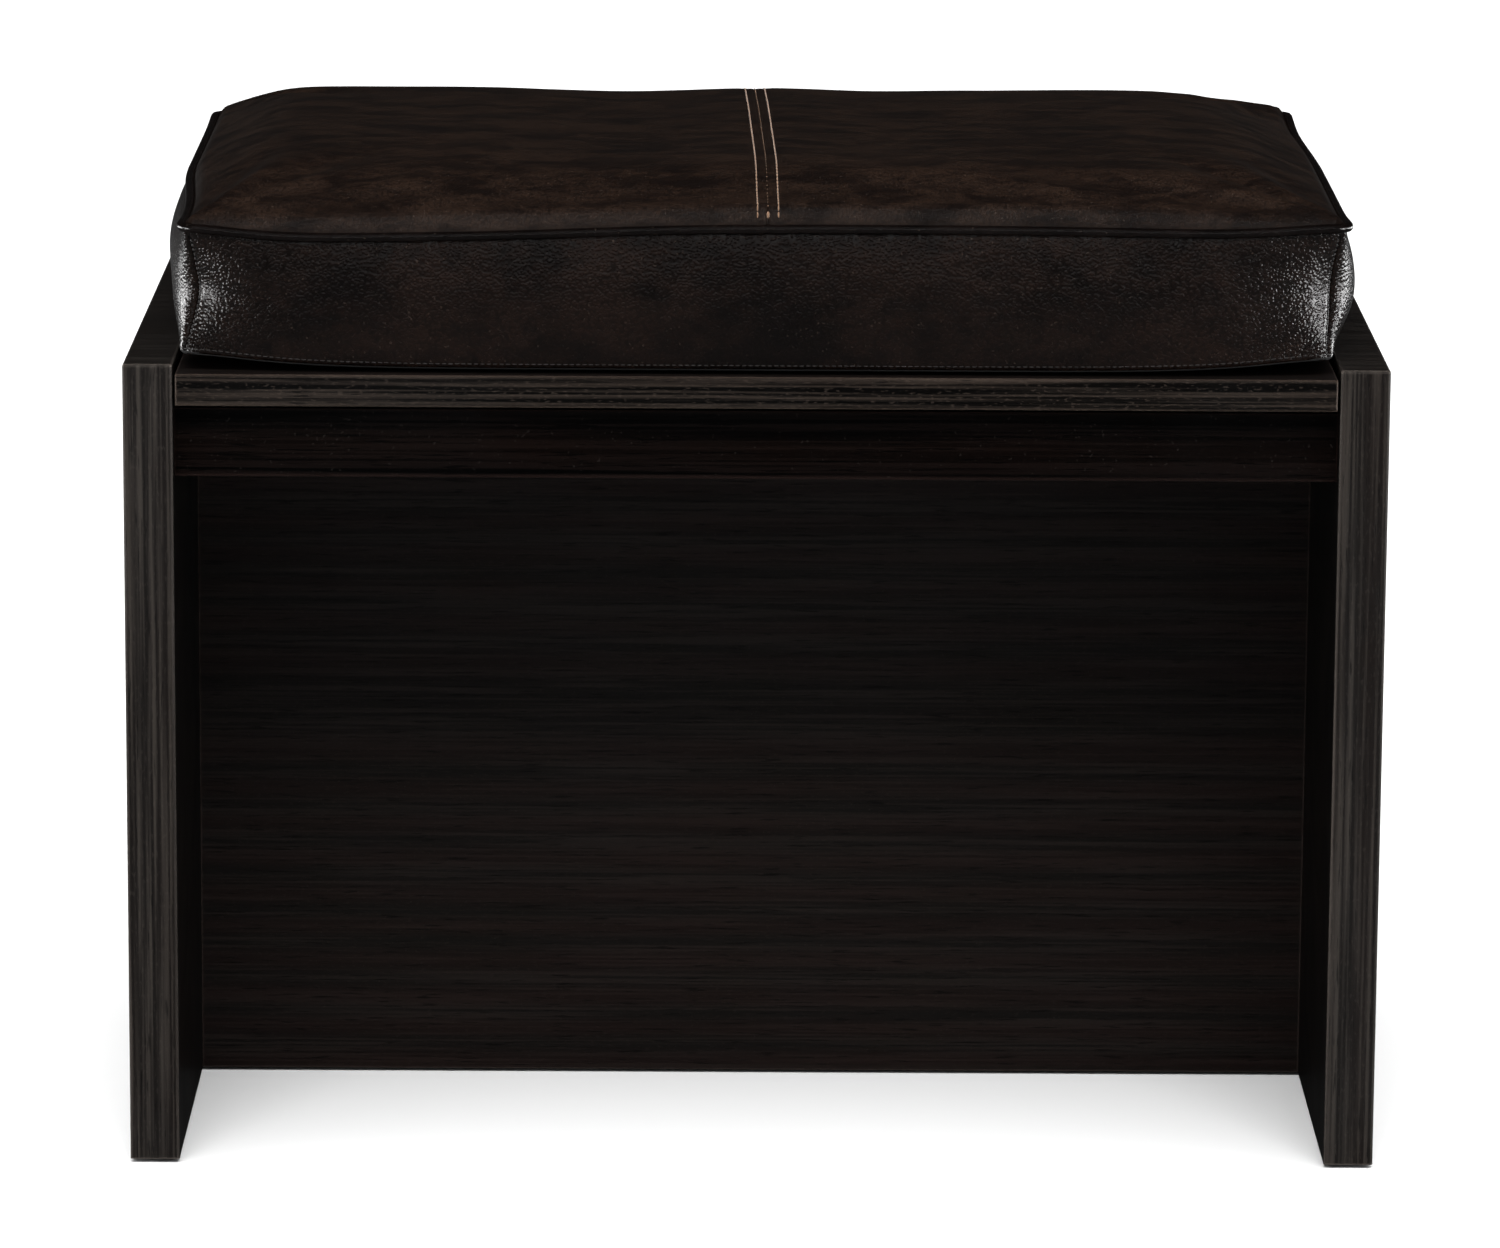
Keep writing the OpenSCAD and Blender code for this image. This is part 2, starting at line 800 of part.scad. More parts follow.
hinge_pin(LEFT);  // left_hinge_pin
hinge_pin(RIGHT);  // right_hinge_pin
hinge_lid_screws();
lid_bumpers();
hook_strips();
loop_strips();
cushion_foam();
cushion_base();
cushion_top(LEFT);  // cushion_top_left
cushion_top(RIGHT);  // cushion_top_right
cushion_front_band();
cushion_rear_band();
cushion_side_band(LEFT);  // cushion_left_band
cushion_side_band(RIGHT);  // cushion_right_band
cushion_piping();
seam_thread();
cushion_zip();
zip_slider();
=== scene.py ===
"""Dress a storage bench: a laminate carcass, a lift-up seat and a boxed, piped leather cushion."""

import logging
import math
from collections.abc import Callable
from dataclasses import dataclass, field
from enum import Enum, IntEnum

import bmesh
import bpy
from mathutils import Matrix, Vector, noise
from mathutils.bvhtree import BVHTree


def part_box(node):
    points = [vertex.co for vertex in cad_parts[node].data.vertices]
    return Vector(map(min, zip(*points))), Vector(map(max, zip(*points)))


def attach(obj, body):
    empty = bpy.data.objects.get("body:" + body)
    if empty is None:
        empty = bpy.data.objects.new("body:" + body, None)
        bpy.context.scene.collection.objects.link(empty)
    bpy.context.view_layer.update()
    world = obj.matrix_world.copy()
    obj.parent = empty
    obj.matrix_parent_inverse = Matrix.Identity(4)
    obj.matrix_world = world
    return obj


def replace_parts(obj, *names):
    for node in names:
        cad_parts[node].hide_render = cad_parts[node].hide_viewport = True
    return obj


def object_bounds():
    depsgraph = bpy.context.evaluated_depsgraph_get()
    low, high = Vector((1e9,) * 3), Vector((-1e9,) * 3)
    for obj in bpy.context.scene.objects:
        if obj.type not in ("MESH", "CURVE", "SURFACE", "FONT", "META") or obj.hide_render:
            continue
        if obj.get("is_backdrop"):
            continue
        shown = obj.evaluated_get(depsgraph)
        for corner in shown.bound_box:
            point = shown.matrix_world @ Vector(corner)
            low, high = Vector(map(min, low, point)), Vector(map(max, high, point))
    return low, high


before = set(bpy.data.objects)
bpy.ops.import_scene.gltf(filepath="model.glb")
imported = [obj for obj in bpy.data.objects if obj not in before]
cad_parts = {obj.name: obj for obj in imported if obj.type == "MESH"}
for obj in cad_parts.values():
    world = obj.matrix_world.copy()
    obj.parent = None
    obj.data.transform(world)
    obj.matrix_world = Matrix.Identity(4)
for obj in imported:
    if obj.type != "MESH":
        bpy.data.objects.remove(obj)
CAD_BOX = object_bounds()

LOG = logging.getLogger("storage_bench")
MM = 0.001
SMALL = 1e-6

Socket = bpy.types.NodeSocket
Pair = tuple[float, float]
Triple = tuple[float, float, float]
Colour = Triple


# ---------- Nodes ----------


class Sheet:
    """One node tree, with short calls that add nodes to it and join them."""

    def __init__(self, tree: bpy.types.NodeTree) -> None:
        """Work on one tree.

        Args:
            tree: The tree that the nodes go into.
        """
        self.tree = tree

    def add(self, kind: str, values: dict | None = None, **settings: object) -> bpy.types.Node:
        """Add one node.

        Args:
            kind: The node's type.
            values: What each input gets, which is a value or a socket to link from.
            settings: Properties of the node itself.

        Returns:
            The new node.
        """
        node = self.tree.nodes.new(kind)
        for name, value in settings.items():
            setattr(node, name, value)
        for name, value in (values or {}).items():
            if isinstance(value, Socket):
                self.tree.links.new(value, node.inputs[name])
            else:
                node.inputs[name].default_value = value
        return node

    def effect(self, group: bpy.types.NodeTree, **values: object) -> bpy.types.Node:
        """Place a shared effect, with its inputs by name, where _ stands for a space."""
        named = {name.replace("_", " "): value for name, value in values.items()}
        return self.add("ShaderNodeGroup", named, node_tree=group)

    def maths(self, operation: str, *values: object) -> Socket:
        """Add a Math node and return its result."""
        return self.add("ShaderNodeMath", dict(enumerate(values)), operation=operation).outputs[0]

    def times(self, value: Socket, factor: float) -> Socket:
        """Multiply a number by a factor."""
        return self.maths("MULTIPLY", value, factor)

    def stretch(
        self, place: Socket, scale: Triple, turn: Triple = (0, 0, 0), shift: Triple = (0, 0, 0)
    ) -> Socket:
        """Scale, turn and shift a pattern's coordinates."""
        values = {"Vector": place, "Scale": scale, "Rotation": turn, "Location": shift}
        return self.add("ShaderNodeMapping", values).outputs[0]

    def noise(self, place: Socket, scale: float, detail: float = 2.0, distortion: float = 0.0) -> Socket:
        """Add a Noise texture and return its factor."""
        values = {"Vector": place, "Scale": scale, "Detail": detail, "Distortion": distortion}
        return self.add("ShaderNodeTexNoise", values).outputs["Fac"]

    def span(
        self, value: Socket, low: float, high: float, to_low: float = 0.0, to_high: float = 1.0
    ) -> Socket:
        """Remap a number smoothly from one span to another, held at its ends."""
        values = {"Value": value, "From Min": low, "From Max": high, "To Min": to_low, "To Max": to_high}
        return self.add("ShaderNodeMapRange", values, interpolation_type="SMOOTHSTEP").outputs[0]

    def tint(self, mask: Socket, low: object, high: object) -> Socket:
        """Blend two colours, each an RGB tuple or a socket, by a mask."""
        values = {0: mask}
        for index, colour in ((6, low), (7, high)):
            values[index] = colour if isinstance(colour, Socket) else (*colour, 1.0)
        return self.add("ShaderNodeMix", values, data_type="RGBA").outputs[2]

    def bump(self, height: Socket, strength: float, distance: float, base: Socket | None = None) -> Socket:
        """Turn a height into a normal, over a base normal if one is given; the distance is in metres."""
        values = {"Height": height, "Strength": strength, "Distance": distance}
        if base is not None:
            values["Normal"] = base
        return self.add("ShaderNodeBump", values).outputs[0]


def grey(level: float) -> Colour:
    """Make a neutral colour."""
    return level, level, level


def shade(colour: Colour, factor: float) -> Colour:
    """Darken or lighten a colour by a factor."""
    return tuple(factor * part for part in colour)


def shared_effect(
    name: str,
    inputs: dict[str, float | None],
    outputs: tuple[str, ...],
    wire: Callable[[Sheet, bpy.types.Node], dict[str, Socket]],
) -> bpy.types.NodeTree:
    """Build a shader node group once, and return it each time.

    Args:
        name: The group's name.
        inputs: Each input's default, where None makes it a vector.
        outputs: The names of the numbers that the group puts out; one called Normal is a vector.
        wire: Adds the nodes, given the sheet and the group's input node, and returns the outputs.

    Returns:
        The node group.
    """
    group = bpy.data.node_groups.get(name)
    if group is not None:
        return group
    group = bpy.data.node_groups.new(name, "ShaderNodeTree")
    for label, default in inputs.items():
        kind = "NodeSocketVector" if default is None else "NodeSocketFloat"
        socket = group.interface.new_socket(label, in_out="INPUT", socket_type=kind)
        if default is not None:
            socket.default_value = default
    for label in outputs:
        kind = "NodeSocketVector" if label == "Normal" else "NodeSocketFloat"
        group.interface.new_socket(label, in_out="OUTPUT", socket_type=kind)
    sheet = Sheet(group)
    source = sheet.add("NodeGroupInput")
    sheet.add("NodeGroupOutput", wire(sheet, source))
    return group


def wood_grain() -> bpy.types.NodeTree:
    """Grain that runs along the vector's first axis: streaks, short pores and a broad figure."""

    def wire(sheet: Sheet, source: bpy.types.Node) -> dict[str, Socket]:
        """Lay out the grain."""
        place = source.outputs["Vector"]
        scaled = {0: place, "Scale": source.outputs["Zoom"]}
        print_place = sheet.add("ShaderNodeVectorMath", scaled, operation="SCALE").outputs[0]
        fine = sheet.noise(sheet.stretch(print_place, scale=(5, 480, 480)), 1.0, detail=3.0)
        coarse = sheet.noise(sheet.stretch(print_place, scale=(2.5, 130, 130)), 1.0, detail=2.0)
        pores = sheet.noise(sheet.stretch(place, scale=(55, 900, 900)), 1.0, detail=2.0)
        ticks = sheet.noise(sheet.stretch(place, scale=(300, 1000, 1000)), 1.0, detail=1.0)
        fine_share = 0.6
        both = sheet.maths("ADD", sheet.times(fine, fine_share), sheet.times(coarse, 1 - fine_share))
        rings = {
            "Vector": sheet.stretch(place, scale=(1.5, 17, 17), shift=(0.4, 0.1, -3.4)),
            "Scale": 1.0,
            "Distortion": 2.2,
            "Detail": 2.0,
            "Detail Scale": 1.4,
        }
        wave = sheet.add("ShaderNodeTexWave", rings, wave_type="RINGS", rings_direction="X")
        return {
            "Streaks": sheet.span(both, low=0.44, high=0.60),
            "Pores": sheet.span(pores, low=0.58, high=0.68),
            "Ticks": sheet.span(ticks, low=0.59, high=0.67),
            "Figure": wave.outputs["Fac"],
        }

    inputs = {"Vector": None, "Zoom": 1.0}
    return shared_effect("wood_grain", inputs, ("Streaks", "Pores", "Ticks", "Figure"), wire)


def arris_and_painted_highlight() -> bpy.types.NodeTree:
    """A slightly rounded arris: the rounded normal, and a mask of the arris, which carries a painted
    highlight.
    """

    def wire(sheet: Sheet, source: bpy.types.Node) -> dict[str, Socket]:
        """Compare the rounded normal with the flat one."""
        rounded = sheet.add("ShaderNodeBevel", {"Radius": source.outputs["Radius"]}, samples=4).outputs[0]
        flat = sheet.add("ShaderNodeNewGeometry").outputs["Normal"]
        pair = {0: rounded, 1: flat}
        turn = sheet.add("ShaderNodeVectorMath", pair, operation="DOT_PRODUCT").outputs["Value"]
        # The mask marks the arris, where a lighter colour is painted as a highlight.
        return {"Wear": sheet.span(turn, low=0.88, high=0.998, to_low=1.0, to_high=0.0), "Normal": rounded}

    return shared_effect("arris_and_painted_highlight", {"Radius": 0.0015}, ("Wear", "Normal"), wire)


def pebble() -> bpy.types.NodeTree:
    """Embossed leather grain: rounded pebbles of one size with fine creases between them."""

    def wire(sheet: Sheet, source: bpy.types.Node) -> dict[str, Socket]:
        """Lay out the pebbles."""
        place, pitch = source.outputs["Vector"], source.outputs["Pitch"]
        scale = sheet.maths("DIVIDE", 1.0, pitch)
        sway = sheet.add("ShaderNodeTexNoise", {"Vector": place, "Scale": 260.0, "Detail": 1.0})
        swing = {0: sway.outputs["Color"], 1: (1.2 * MM,) * 3}
        shift = sheet.add("ShaderNodeVectorMath", swing, operation="MULTIPLY").outputs[0]
        moved = sheet.add("ShaderNodeVectorMath", {0: place, 1: shift}, operation="ADD").outputs[0]
        values = {"Vector": moved, "Scale": scale, "Smoothness": 0.35}
        cells = sheet.add("ShaderNodeTexVoronoi", values, feature="SMOOTH_F1").outputs["Distance"]
        dome = sheet.span(cells, low=0.15, high=0.75, to_low=1.0, to_high=0.0)
        fine = sheet.noise(place, scale=2600.0, detail=1.0)
        fine_share = 0.25
        height = sheet.maths("MULTIPLY_ADD", fine, fine_share, dome)
        return {"Height": height, "Crease": sheet.span(cells, low=0.45, high=0.8)}

    return shared_effect("pebble", {"Vector": None, "Pitch": 0.0016}, ("Height", "Crease"), wire)


def mottle() -> bpy.types.NodeTree:
    """Soft, cloudy patches with a finer cloud inside them."""

    def wire(sheet: Sheet, source: bpy.types.Node) -> dict[str, Socket]:
        """Lay out the clouds."""
        place = source.outputs["Vector"]
        fine_share, finer = 0.35, 5.0
        broad = sheet.noise(place, source.outputs["Scale"], detail=3.0, distortion=0.6)
        fine = sheet.noise(place, sheet.times(source.outputs["Scale"], finer), detail=3.0)
        both = sheet.maths("MULTIPLY_ADD", fine, fine_share, sheet.times(broad, 1 - fine_share))
        return {"Patches": sheet.span(both, low=0.34, high=0.70), "Cloud": broad}

    return shared_effect("mottle", {"Vector": None, "Scale": 20.0}, ("Patches", "Cloud"), wire)


def specks() -> bpy.types.NodeTree:
    """Small, sparse flecks, as dust or a fleck in a print leaves."""

    def wire(sheet: Sheet, source: bpy.types.Node) -> dict[str, Socket]:
        """Lay out the flecks."""
        place = source.outputs["Vector"]
        grit = sheet.noise(place, sheet.maths("DIVIDE", 1.0, source.outputs["Size"]), detail=0.0)
        zone = sheet.noise(place, scale=14.0, detail=1.0)
        rarity = 0.83
        limit = sheet.maths("MULTIPLY_ADD", zone, -0.1, rarity)
        return {"Flecks": sheet.span(sheet.maths("SUBTRACT", grit, limit), low=0.0, high=0.05)}

    return shared_effect("specks", {"Vector": None, "Size": 0.0016}, ("Flecks",), wire)


def weave() -> bpy.types.NodeTree:
    """A plain weave in the plane of the vector's first two axes."""

    def wire(sheet: Sheet, source: bpy.types.Node) -> dict[str, Socket]:
        """Lay out the two sets of threads."""
        turns = sheet.maths("DIVIDE", 2.0 * math.pi, source.outputs["Pitch"])
        parts = sheet.add("ShaderNodeSeparateXYZ", {0: source.outputs["Vector"]})
        across = sheet.maths("SINE", sheet.times(parts.outputs[0], turns))
        along = sheet.maths("SINE", sheet.times(parts.outputs[1], turns))
        half = 0.5
        return {"Height": sheet.maths("MULTIPLY_ADD", sheet.times(across, along), half, half)}

    return shared_effect("weave", {"Vector": None, "Pitch": 0.0012}, ("Height",), wire)


def moulding() -> bpy.types.NodeTree:
    """The faint sparked texture and flow of a moulded or cast surface."""

    def wire(sheet: Sheet, source: bpy.types.Node) -> dict[str, Socket]:
        """Lay out the texture."""
        place = source.outputs["Vector"]
        grit = sheet.noise(place, sheet.maths("DIVIDE", 1.0, source.outputs["Grit"]), detail=2.0)
        return {"Height": grit, "Flow": sheet.noise(place, scale=45.0, detail=2.0, distortion=1.0)}

    return shared_effect("moulding", {"Vector": None, "Grit": 0.0005}, ("Height", "Flow"), wire)


# ---------- Finishes ----------


class Grain(Enum):
    """Which way a board's grain runs, as the turn that brings it onto X."""

    ACROSS = (0.0, 0.0, 0.0)
    UPRIGHT = (0.0, math.pi / 2, 0.0)


@dataclass(frozen=True)
class Finish:
    """What every finish has: a name and a plain roughness."""

    name: str
    roughness: float = 0.5

    def material(self) -> bpy.types.Material:
        """Make the material, or return it if it was made before."""
        made = bpy.data.materials.get(self.name)
        if made is None:
            made = bpy.data.materials.new(self.name)
            made.use_nodes = True
            made.node_tree.nodes.clear()
            sheet = Sheet(made.node_tree)
            shader = sheet.add("ShaderNodeBsdfPrincipled", {"Roughness": self.roughness})
            sheet.add("ShaderNodeOutputMaterial", {"Surface": shader.outputs[0]})
            place = sheet.add("ShaderNodeTexCoord").outputs["Object"]
            for name, value in self.wire(sheet, place).items():
                if isinstance(value, Socket):
                    sheet.tree.links.new(value, shader.inputs[name])
                else:
                    shader.inputs[name].default_value = value
        return made

    def wire(self, sheet: Sheet, place: Socket) -> dict[str, object]:
        """Lay out the finish, and return what the shader's inputs get."""
        raise NotImplementedError

    def uneven(self, sheet: Sheet, cloud: Socket, span: Pair, spread: Pair) -> Socket:
        """Vary the roughness over a cloudy mask.

        Args:
            sheet: The material's nodes.
            cloud: The mask.
            span: The mask's values where the roughness is lowest and highest.
            spread: How far it goes below and above the plain roughness.

        Returns:
            The roughness.
        """
        return sheet.span(cloud, *span, self.roughness - spread[0], self.roughness + spread[1])

    def dress(self, *pieces: bpy.types.Object) -> None:
        """Put the finish on each piece, in all its slots."""
        for piece in pieces:
            if not piece.material_slots:
                piece.data.materials.append(self.material())
            for slot in piece.material_slots:
                slot.material = self.material()


@dataclass(frozen=True)
class Dust:
    """Flecks on a finish: their size, how much they show and their colour."""

    size: float
    share: float
    colour: Colour

    def over(self, sheet: Sheet, place: Socket, colour: Socket) -> Socket:
        """Lay the flecks over a colour."""
        flecks = sheet.effect(specks(), Vector=place, Size=self.size).outputs["Flecks"]
        return sheet.tint(sheet.times(flecks, self.share), colour, self.colour)


@dataclass(frozen=True)
class Laminate(Finish):
    """Printed wood grain under a satin lacquer."""

    grain: Grain = Grain.ACROSS
    dark: Colour = (0.0013, 0.0011, 0.0010)
    light: Colour = (0.0062, 0.0049, 0.0042)
    streak: float = 0.6
    figure: float = 0.25
    warm: Colour = (0.0075, 0.0034, 0.0022)
    zoom: float = 1.0
    ticks: float = 0.12
    gloss: float = 0.2
    pores: float = 0.75
    # How strongly the painted highlight shows along the arrises.
    wear: float = 0.8
    arris: float = 1.5 * MM
    dust: Dust = Dust(1.4 * MM, 0.03, (0.20, 0.17, 0.15))

    def wire(self, sheet: Sheet, place: Socket) -> dict[str, object]:
        """Lay the print, its pores, a painted highlight along the rounded arrises and the lacquer's
        unevenness.
        """
        turned = sheet.stretch(place, (1, 1, 1), self.grain.value)
        grain = sheet.effect(wood_grain(), Vector=turned, Zoom=self.zoom).outputs
        rounded_arris = sheet.effect(arris_and_painted_highlight(), Radius=self.arris).outputs
        streaks = sheet.times(grain["Streaks"], self.streak)
        colour = sheet.tint(streaks, self.dark, self.light)
        layers = (
            (grain["Figure"], self.figure, self.warm),
            (grain["Pores"], self.pores, shade(self.dark, 0.4)),
            (grain["Ticks"], self.ticks, shade(self.light, 2.5)),
            # A much lighter colour painted along the arrises: a painted highlight.
            (rounded_arris["Wear"], self.wear, shade(self.light, 6.0)),
        )
        for mask, share, over in layers:
            colour = sheet.tint(sheet.times(mask, share), colour, over)
        cloud = sheet.effect(mottle(), Vector=place, Scale=9.0).outputs["Cloud"]
        relief = sheet.maths("SUBTRACT", sheet.times(streaks, 0.3), grain["Pores"])
        return {
            "Base Color": self.dust.over(sheet, place, colour),
            "Roughness": self.uneven(sheet, cloud, (0.3, 0.7), (0.06, 0.08)),
            "Specular IOR Level": self.gloss,
            "Normal": sheet.bump(relief, strength=0.35, distance=0.12 * MM, base=rounded_arris["Normal"]),
        }


@dataclass(frozen=True)
class Leather(Finish):
    """Bonded leather: a dark, glossy coating, embossed and rubbed to a warmer brown in patches."""

    dark: Colour = (0.0038, 0.0020, 0.0015)
    warm: Colour = (0.0165, 0.0080, 0.0044)
    patches: Triple = (0.45, 1.0, 1.0)
    cloud_scale: float = 68.0
    pitch: float = 1.4 * MM
    relief: float = 0.08 * MM
    crease: float = 0.5
    crease_shade: float = 0.6
    spread: Pair = (0.03, 0.05)
    dust: Dust = Dust(1.1 * MM, 0.08, (0.22, 0.16, 0.12))

    def wire(self, sheet: Sheet, place: Socket) -> dict[str, object]:
        """Lay the patches, the pebbles, the creases with painted shade in them, and the gloss."""
        drawn = sheet.stretch(place, self.patches)
        cloud = sheet.effect(mottle(), Vector=drawn, Scale=self.cloud_scale).outputs
        grain = sheet.effect(pebble(), Vector=place, Pitch=self.pitch).outputs
        colour = sheet.tint(cloud["Patches"], self.dark, self.warm)
        # The pebbles' creases are darkened: painted shade.
        colour = sheet.tint(sheet.times(grain["Crease"], self.crease_shade), colour, shade(self.dark, 0.45))
        crinkle = sheet.noise(sheet.stretch(place, scale=(90, 90, 190)), 1.0, detail=3.0, distortion=0.8)
        height = sheet.maths("MULTIPLY_ADD", crinkle, self.crease, grain["Height"])
        return {
            "Base Color": self.dust.over(sheet, place, colour),
            "Roughness": self.uneven(sheet, cloud["Cloud"], (0.35, 0.65), self.spread),
            "Normal": sheet.bump(height, strength=1.0, distance=self.relief),
        }


@dataclass(frozen=True)
class Thread(Finish):
    """Twisted thread."""

    colour: Colour = (0.30, 0.17, 0.09)
    # The darker colour: painted shade in the twist's grooves, and the colour of the soiled patches.
    shade: Colour = (0.12, 0.060, 0.030)
    soiling: float = 0.4

    def wire(self, sheet: Sheet, place: Socket) -> dict[str, object]:
        """Lay the twist, with painted shade in its grooves, and the fuzz."""
        slant = sheet.stretch(place, (1, 1, 1), turn=(0.5, 0.4, 0.8))
        twist = sheet.effect(weave(), Vector=slant, Pitch=1.1 * MM).outputs["Height"]
        cloud = sheet.effect(mottle(), Vector=place, Scale=160.0).outputs["Patches"]
        # The twist's grooves take the darker colour: painted shade.
        colour = sheet.tint(twist, self.shade, self.colour)
        return {
            "Base Color": sheet.tint(sheet.times(cloud, self.soiling), colour, self.shade),
            "Sheen Weight": 0.3,
            "Normal": sheet.bump(twist, strength=0.8, distance=0.1 * MM),
        }


@dataclass(frozen=True)
class Cloth(Finish):
    """A woven or bonded fabric."""

    colour: Colour = (0.012, 0.011, 0.011)
    pitch: float = 1.2 * MM
    relief: float = 0.15 * MM
    fuzz: float = 0.7
    lint: Dust = Dust(0.9 * MM, 0.3, (0.25, 0.24, 0.22))

    def wire(self, sheet: Sheet, place: Socket) -> dict[str, object]:
        """Lay the weave and its fibres, lighter where raised and darker between as painted light and shade,
        and its lint.
        """
        threads = sheet.effect(weave(), Vector=place, Pitch=self.pitch).outputs["Height"]
        fibres = sheet.noise(place, scale=1400.0, detail=2.0)
        height = sheet.maths("MULTIPLY_ADD", fibres, self.fuzz, threads)
        # The tone follows the weave's height: painted light on the raised threads and fibres, painted shade
        # between them.
        mask = sheet.span(height, low=0.2, high=1.2)
        colour = sheet.tint(mask, shade(self.colour, 0.6), shade(self.colour, 1.9))
        return {
            "Base Color": self.lint.over(sheet, place, colour),
            "Sheen Weight": 0.25,
            "Normal": sheet.bump(height, strength=0.8, distance=self.relief),
        }


@dataclass(frozen=True)
class Foam(Finish):
    """Cut polyurethane foam with open cells."""

    colour: Colour = (0.72, 0.62, 0.36)
    aged: Colour = (0.62, 0.47, 0.22)
    yellowing: float = 0.5

    def wire(self, sheet: Sheet, place: Socket) -> dict[str, object]:
        """Lay the open cells, with painted shade inside them, and the yellowing."""
        cells = sheet.effect(pebble(), Vector=place, Pitch=0.9 * MM).outputs
        cloud = sheet.effect(mottle(), Vector=place, Scale=12.0).outputs["Patches"]
        colour = sheet.tint(sheet.times(cloud, self.yellowing), self.colour, self.aged)
        return {
            # The open cells are darkened: painted shade.
            "Base Color": sheet.tint(cells["Crease"], colour, shade(self.colour, 0.35)),
            "Normal": sheet.bump(cells["Height"], strength=1.0, distance=0.4 * MM),
        }


@dataclass(frozen=True)
class Metal(Finish):
    """Zinc plate or bare casting, with a drawn direction and dull stains."""

    colour: Colour = (0.60, 0.60, 0.58)
    stain: Colour = (0.34, 0.34, 0.35)
    drawn: Triple = (40, 2600, 2600)

    def wire(self, sheet: Sheet, place: Socket) -> dict[str, object]:
        """Lay the drawn lines and the stains."""
        lines = sheet.noise(sheet.stretch(place, self.drawn), 1.0, detail=2.0)
        cast = sheet.effect(moulding(), Vector=place, Grit=0.4 * MM).outputs
        stains = sheet.span(cast["Flow"], low=0.42, high=0.68)
        relief = sheet.maths("ADD", lines, cast["Height"])
        return {
            "Base Color": sheet.tint(stains, self.colour, self.stain),
            "Metallic": 1.0,
            "Roughness": self.uneven(sheet, cast["Flow"], (0.3, 0.7), (0.08, 0.18)),
            "Normal": sheet.bump(relief, strength=0.3, distance=0.06 * MM),
        }


@dataclass(frozen=True)
class Moulded(Finish):
    """Moulded plastic or rubber."""

    colour: Colour = (0.03, 0.03, 0.03)
    grit: float = 0.5 * MM
    relief: float = 0.06 * MM
    dust: Dust = Dust(1.0 * MM, 0.3, (0.3, 0.29, 0.27))

    def wire(self, sheet: Sheet, place: Socket) -> dict[str, object]:
        """Lay the sparked texture, the flow and a little dust."""
        cast = sheet.effect(moulding(), Vector=place, Grit=self.grit).outputs
        paler = tuple(min(1.0, 1.35 * part + 0.004) for part in self.colour)
        colour = sheet.tint(sheet.span(cast["Flow"], low=0.35, high=0.7), self.colour, paler)
        return {
            "Base Color": self.dust.over(sheet, place, colour),
            "Roughness": self.uneven(sheet, cast["Height"], (0.3, 0.7), (0.05, 0.08)),
            "Normal": sheet.bump(cast["Height"], strength=0.5, distance=self.relief),
        }


UPRIGHT = Laminate("laminate_upright", 0.36, grain=Grain.UPRIGHT)
LEVEL = Laminate(
    "laminate_level",
    0.36,
    dark=(0.0050, 0.0042, 0.0038),
    light=(0.0135, 0.0100, 0.0087),
    streak=0.6,
    figure=0.35,
    warm=(0.0110, 0.0050, 0.0042),
    zoom=1.7,
    gloss=0.1,
)
# The rail's copy of the laminate is much darker: painted shade for its place under the seat's overhang.
RAIL_IN_SHADE = Laminate(
    "laminate_rail_shaded",
    0.36,
    dark=(0.0003, 0.0002, 0.0002),
    light=(0.0034, 0.0019, 0.0016),
    streak=1.0,
    gloss=0.08,
)
SIDE_BAND = Laminate(
    "side_edge_band",
    0.38,
    Grain.UPRIGHT,
    dark=(0.0065, 0.0054, 0.0048),
    light=(0.027, 0.0228, 0.0195),
    streak=1.0,
)
TOP_BAND = Laminate(
    "top_edge_band",
    0.45,
    dark=(0.0075, 0.0062, 0.0055),
    light=(0.0220, 0.0185, 0.0160),
    streak=0.5,
    figure=0.1,
)
SEAT_BAND = Laminate(
    "seat_edge_band",
    0.36,
    dark=(0.0006, 0.0005, 0.0004),
    light=(0.020, 0.0145, 0.0112),
    streak=1.0,
    figure=0.1,
    ticks=0.3,
)
LEATHER_TOP = Leather("bonded_leather_top", 0.32)
# The bands' leather is a darker copy of the top's: painted shade on the upright bands.
LEATHER_BAND = Leather(
    "bonded_leather_band",
    0.22,
    dark=(0.0020, 0.0011, 0.0009),
    warm=(0.0078, 0.0035, 0.0022),
    patches=(0.5, 0.8, 0.8),
    cloud_scale=34.0,
    pitch=1.6 * MM,
    relief=0.17 * MM,
    crease=0.2,
    spread=(0.01, 0.02),
)
LEATHER_PIPING = Leather(
    "bonded_leather_piping",
    0.20,
    dark=(0.0016, 0.0010, 0.0009),
    warm=(0.0040, 0.0021, 0.0017),
    crease=0.3,
)
TAN_THREAD = Thread("tan_thread", 0.55)
DARK_THREAD = Thread("dark_thread", 0.5, (0.012, 0.008, 0.007), (0.005, 0.003, 0.003))
UNDERLINING = Cloth("underlining", 0.9)
ZIP_TAPE = Cloth("zip_tape", 0.8, (0.013, 0.010, 0.009), pitch=0.9 * MM)
HOOK_LOOP = Cloth("hook_and_loop", 0.95, (0.014, 0.014, 0.014), pitch=1.6 * MM, relief=0.6 * MM)
ZIP_TEETH = Moulded("zip_teeth", 0.35, (0.022, 0.018, 0.016))
FOAM = Foam("foam", 0.95)
ZINC_STEEL = Metal("zinc_steel", 0.34)
ZINC_CASTING = Metal("zinc_casting", 0.48, (0.50, 0.50, 0.49), (0.30, 0.30, 0.30), (500, 500, 500))
COVER_CAP = Moulded("cover_cap", 0.42, (0.030, 0.020, 0.016))
GLIDE_PLASTIC = Moulded("glide_plastic", 0.5)
BUSH_NYLON = Moulded("bush_nylon", 0.4, (0.78, 0.75, 0.66), grit=0.7 * MM)
BUMPER_RUBBER = Moulded("bumper_rubber", 0.75, (0.02, 0.02, 0.02), grit=0.9 * MM, relief=0.12 * MM)
BEECH = Laminate(
    "beech", 0.6, dark=(0.40, 0.24, 0.12), light=(0.66, 0.47, 0.28), figure=0.15, warm=(0.5, 0.3, 0.14)
)


# ---------- Making pieces ----------


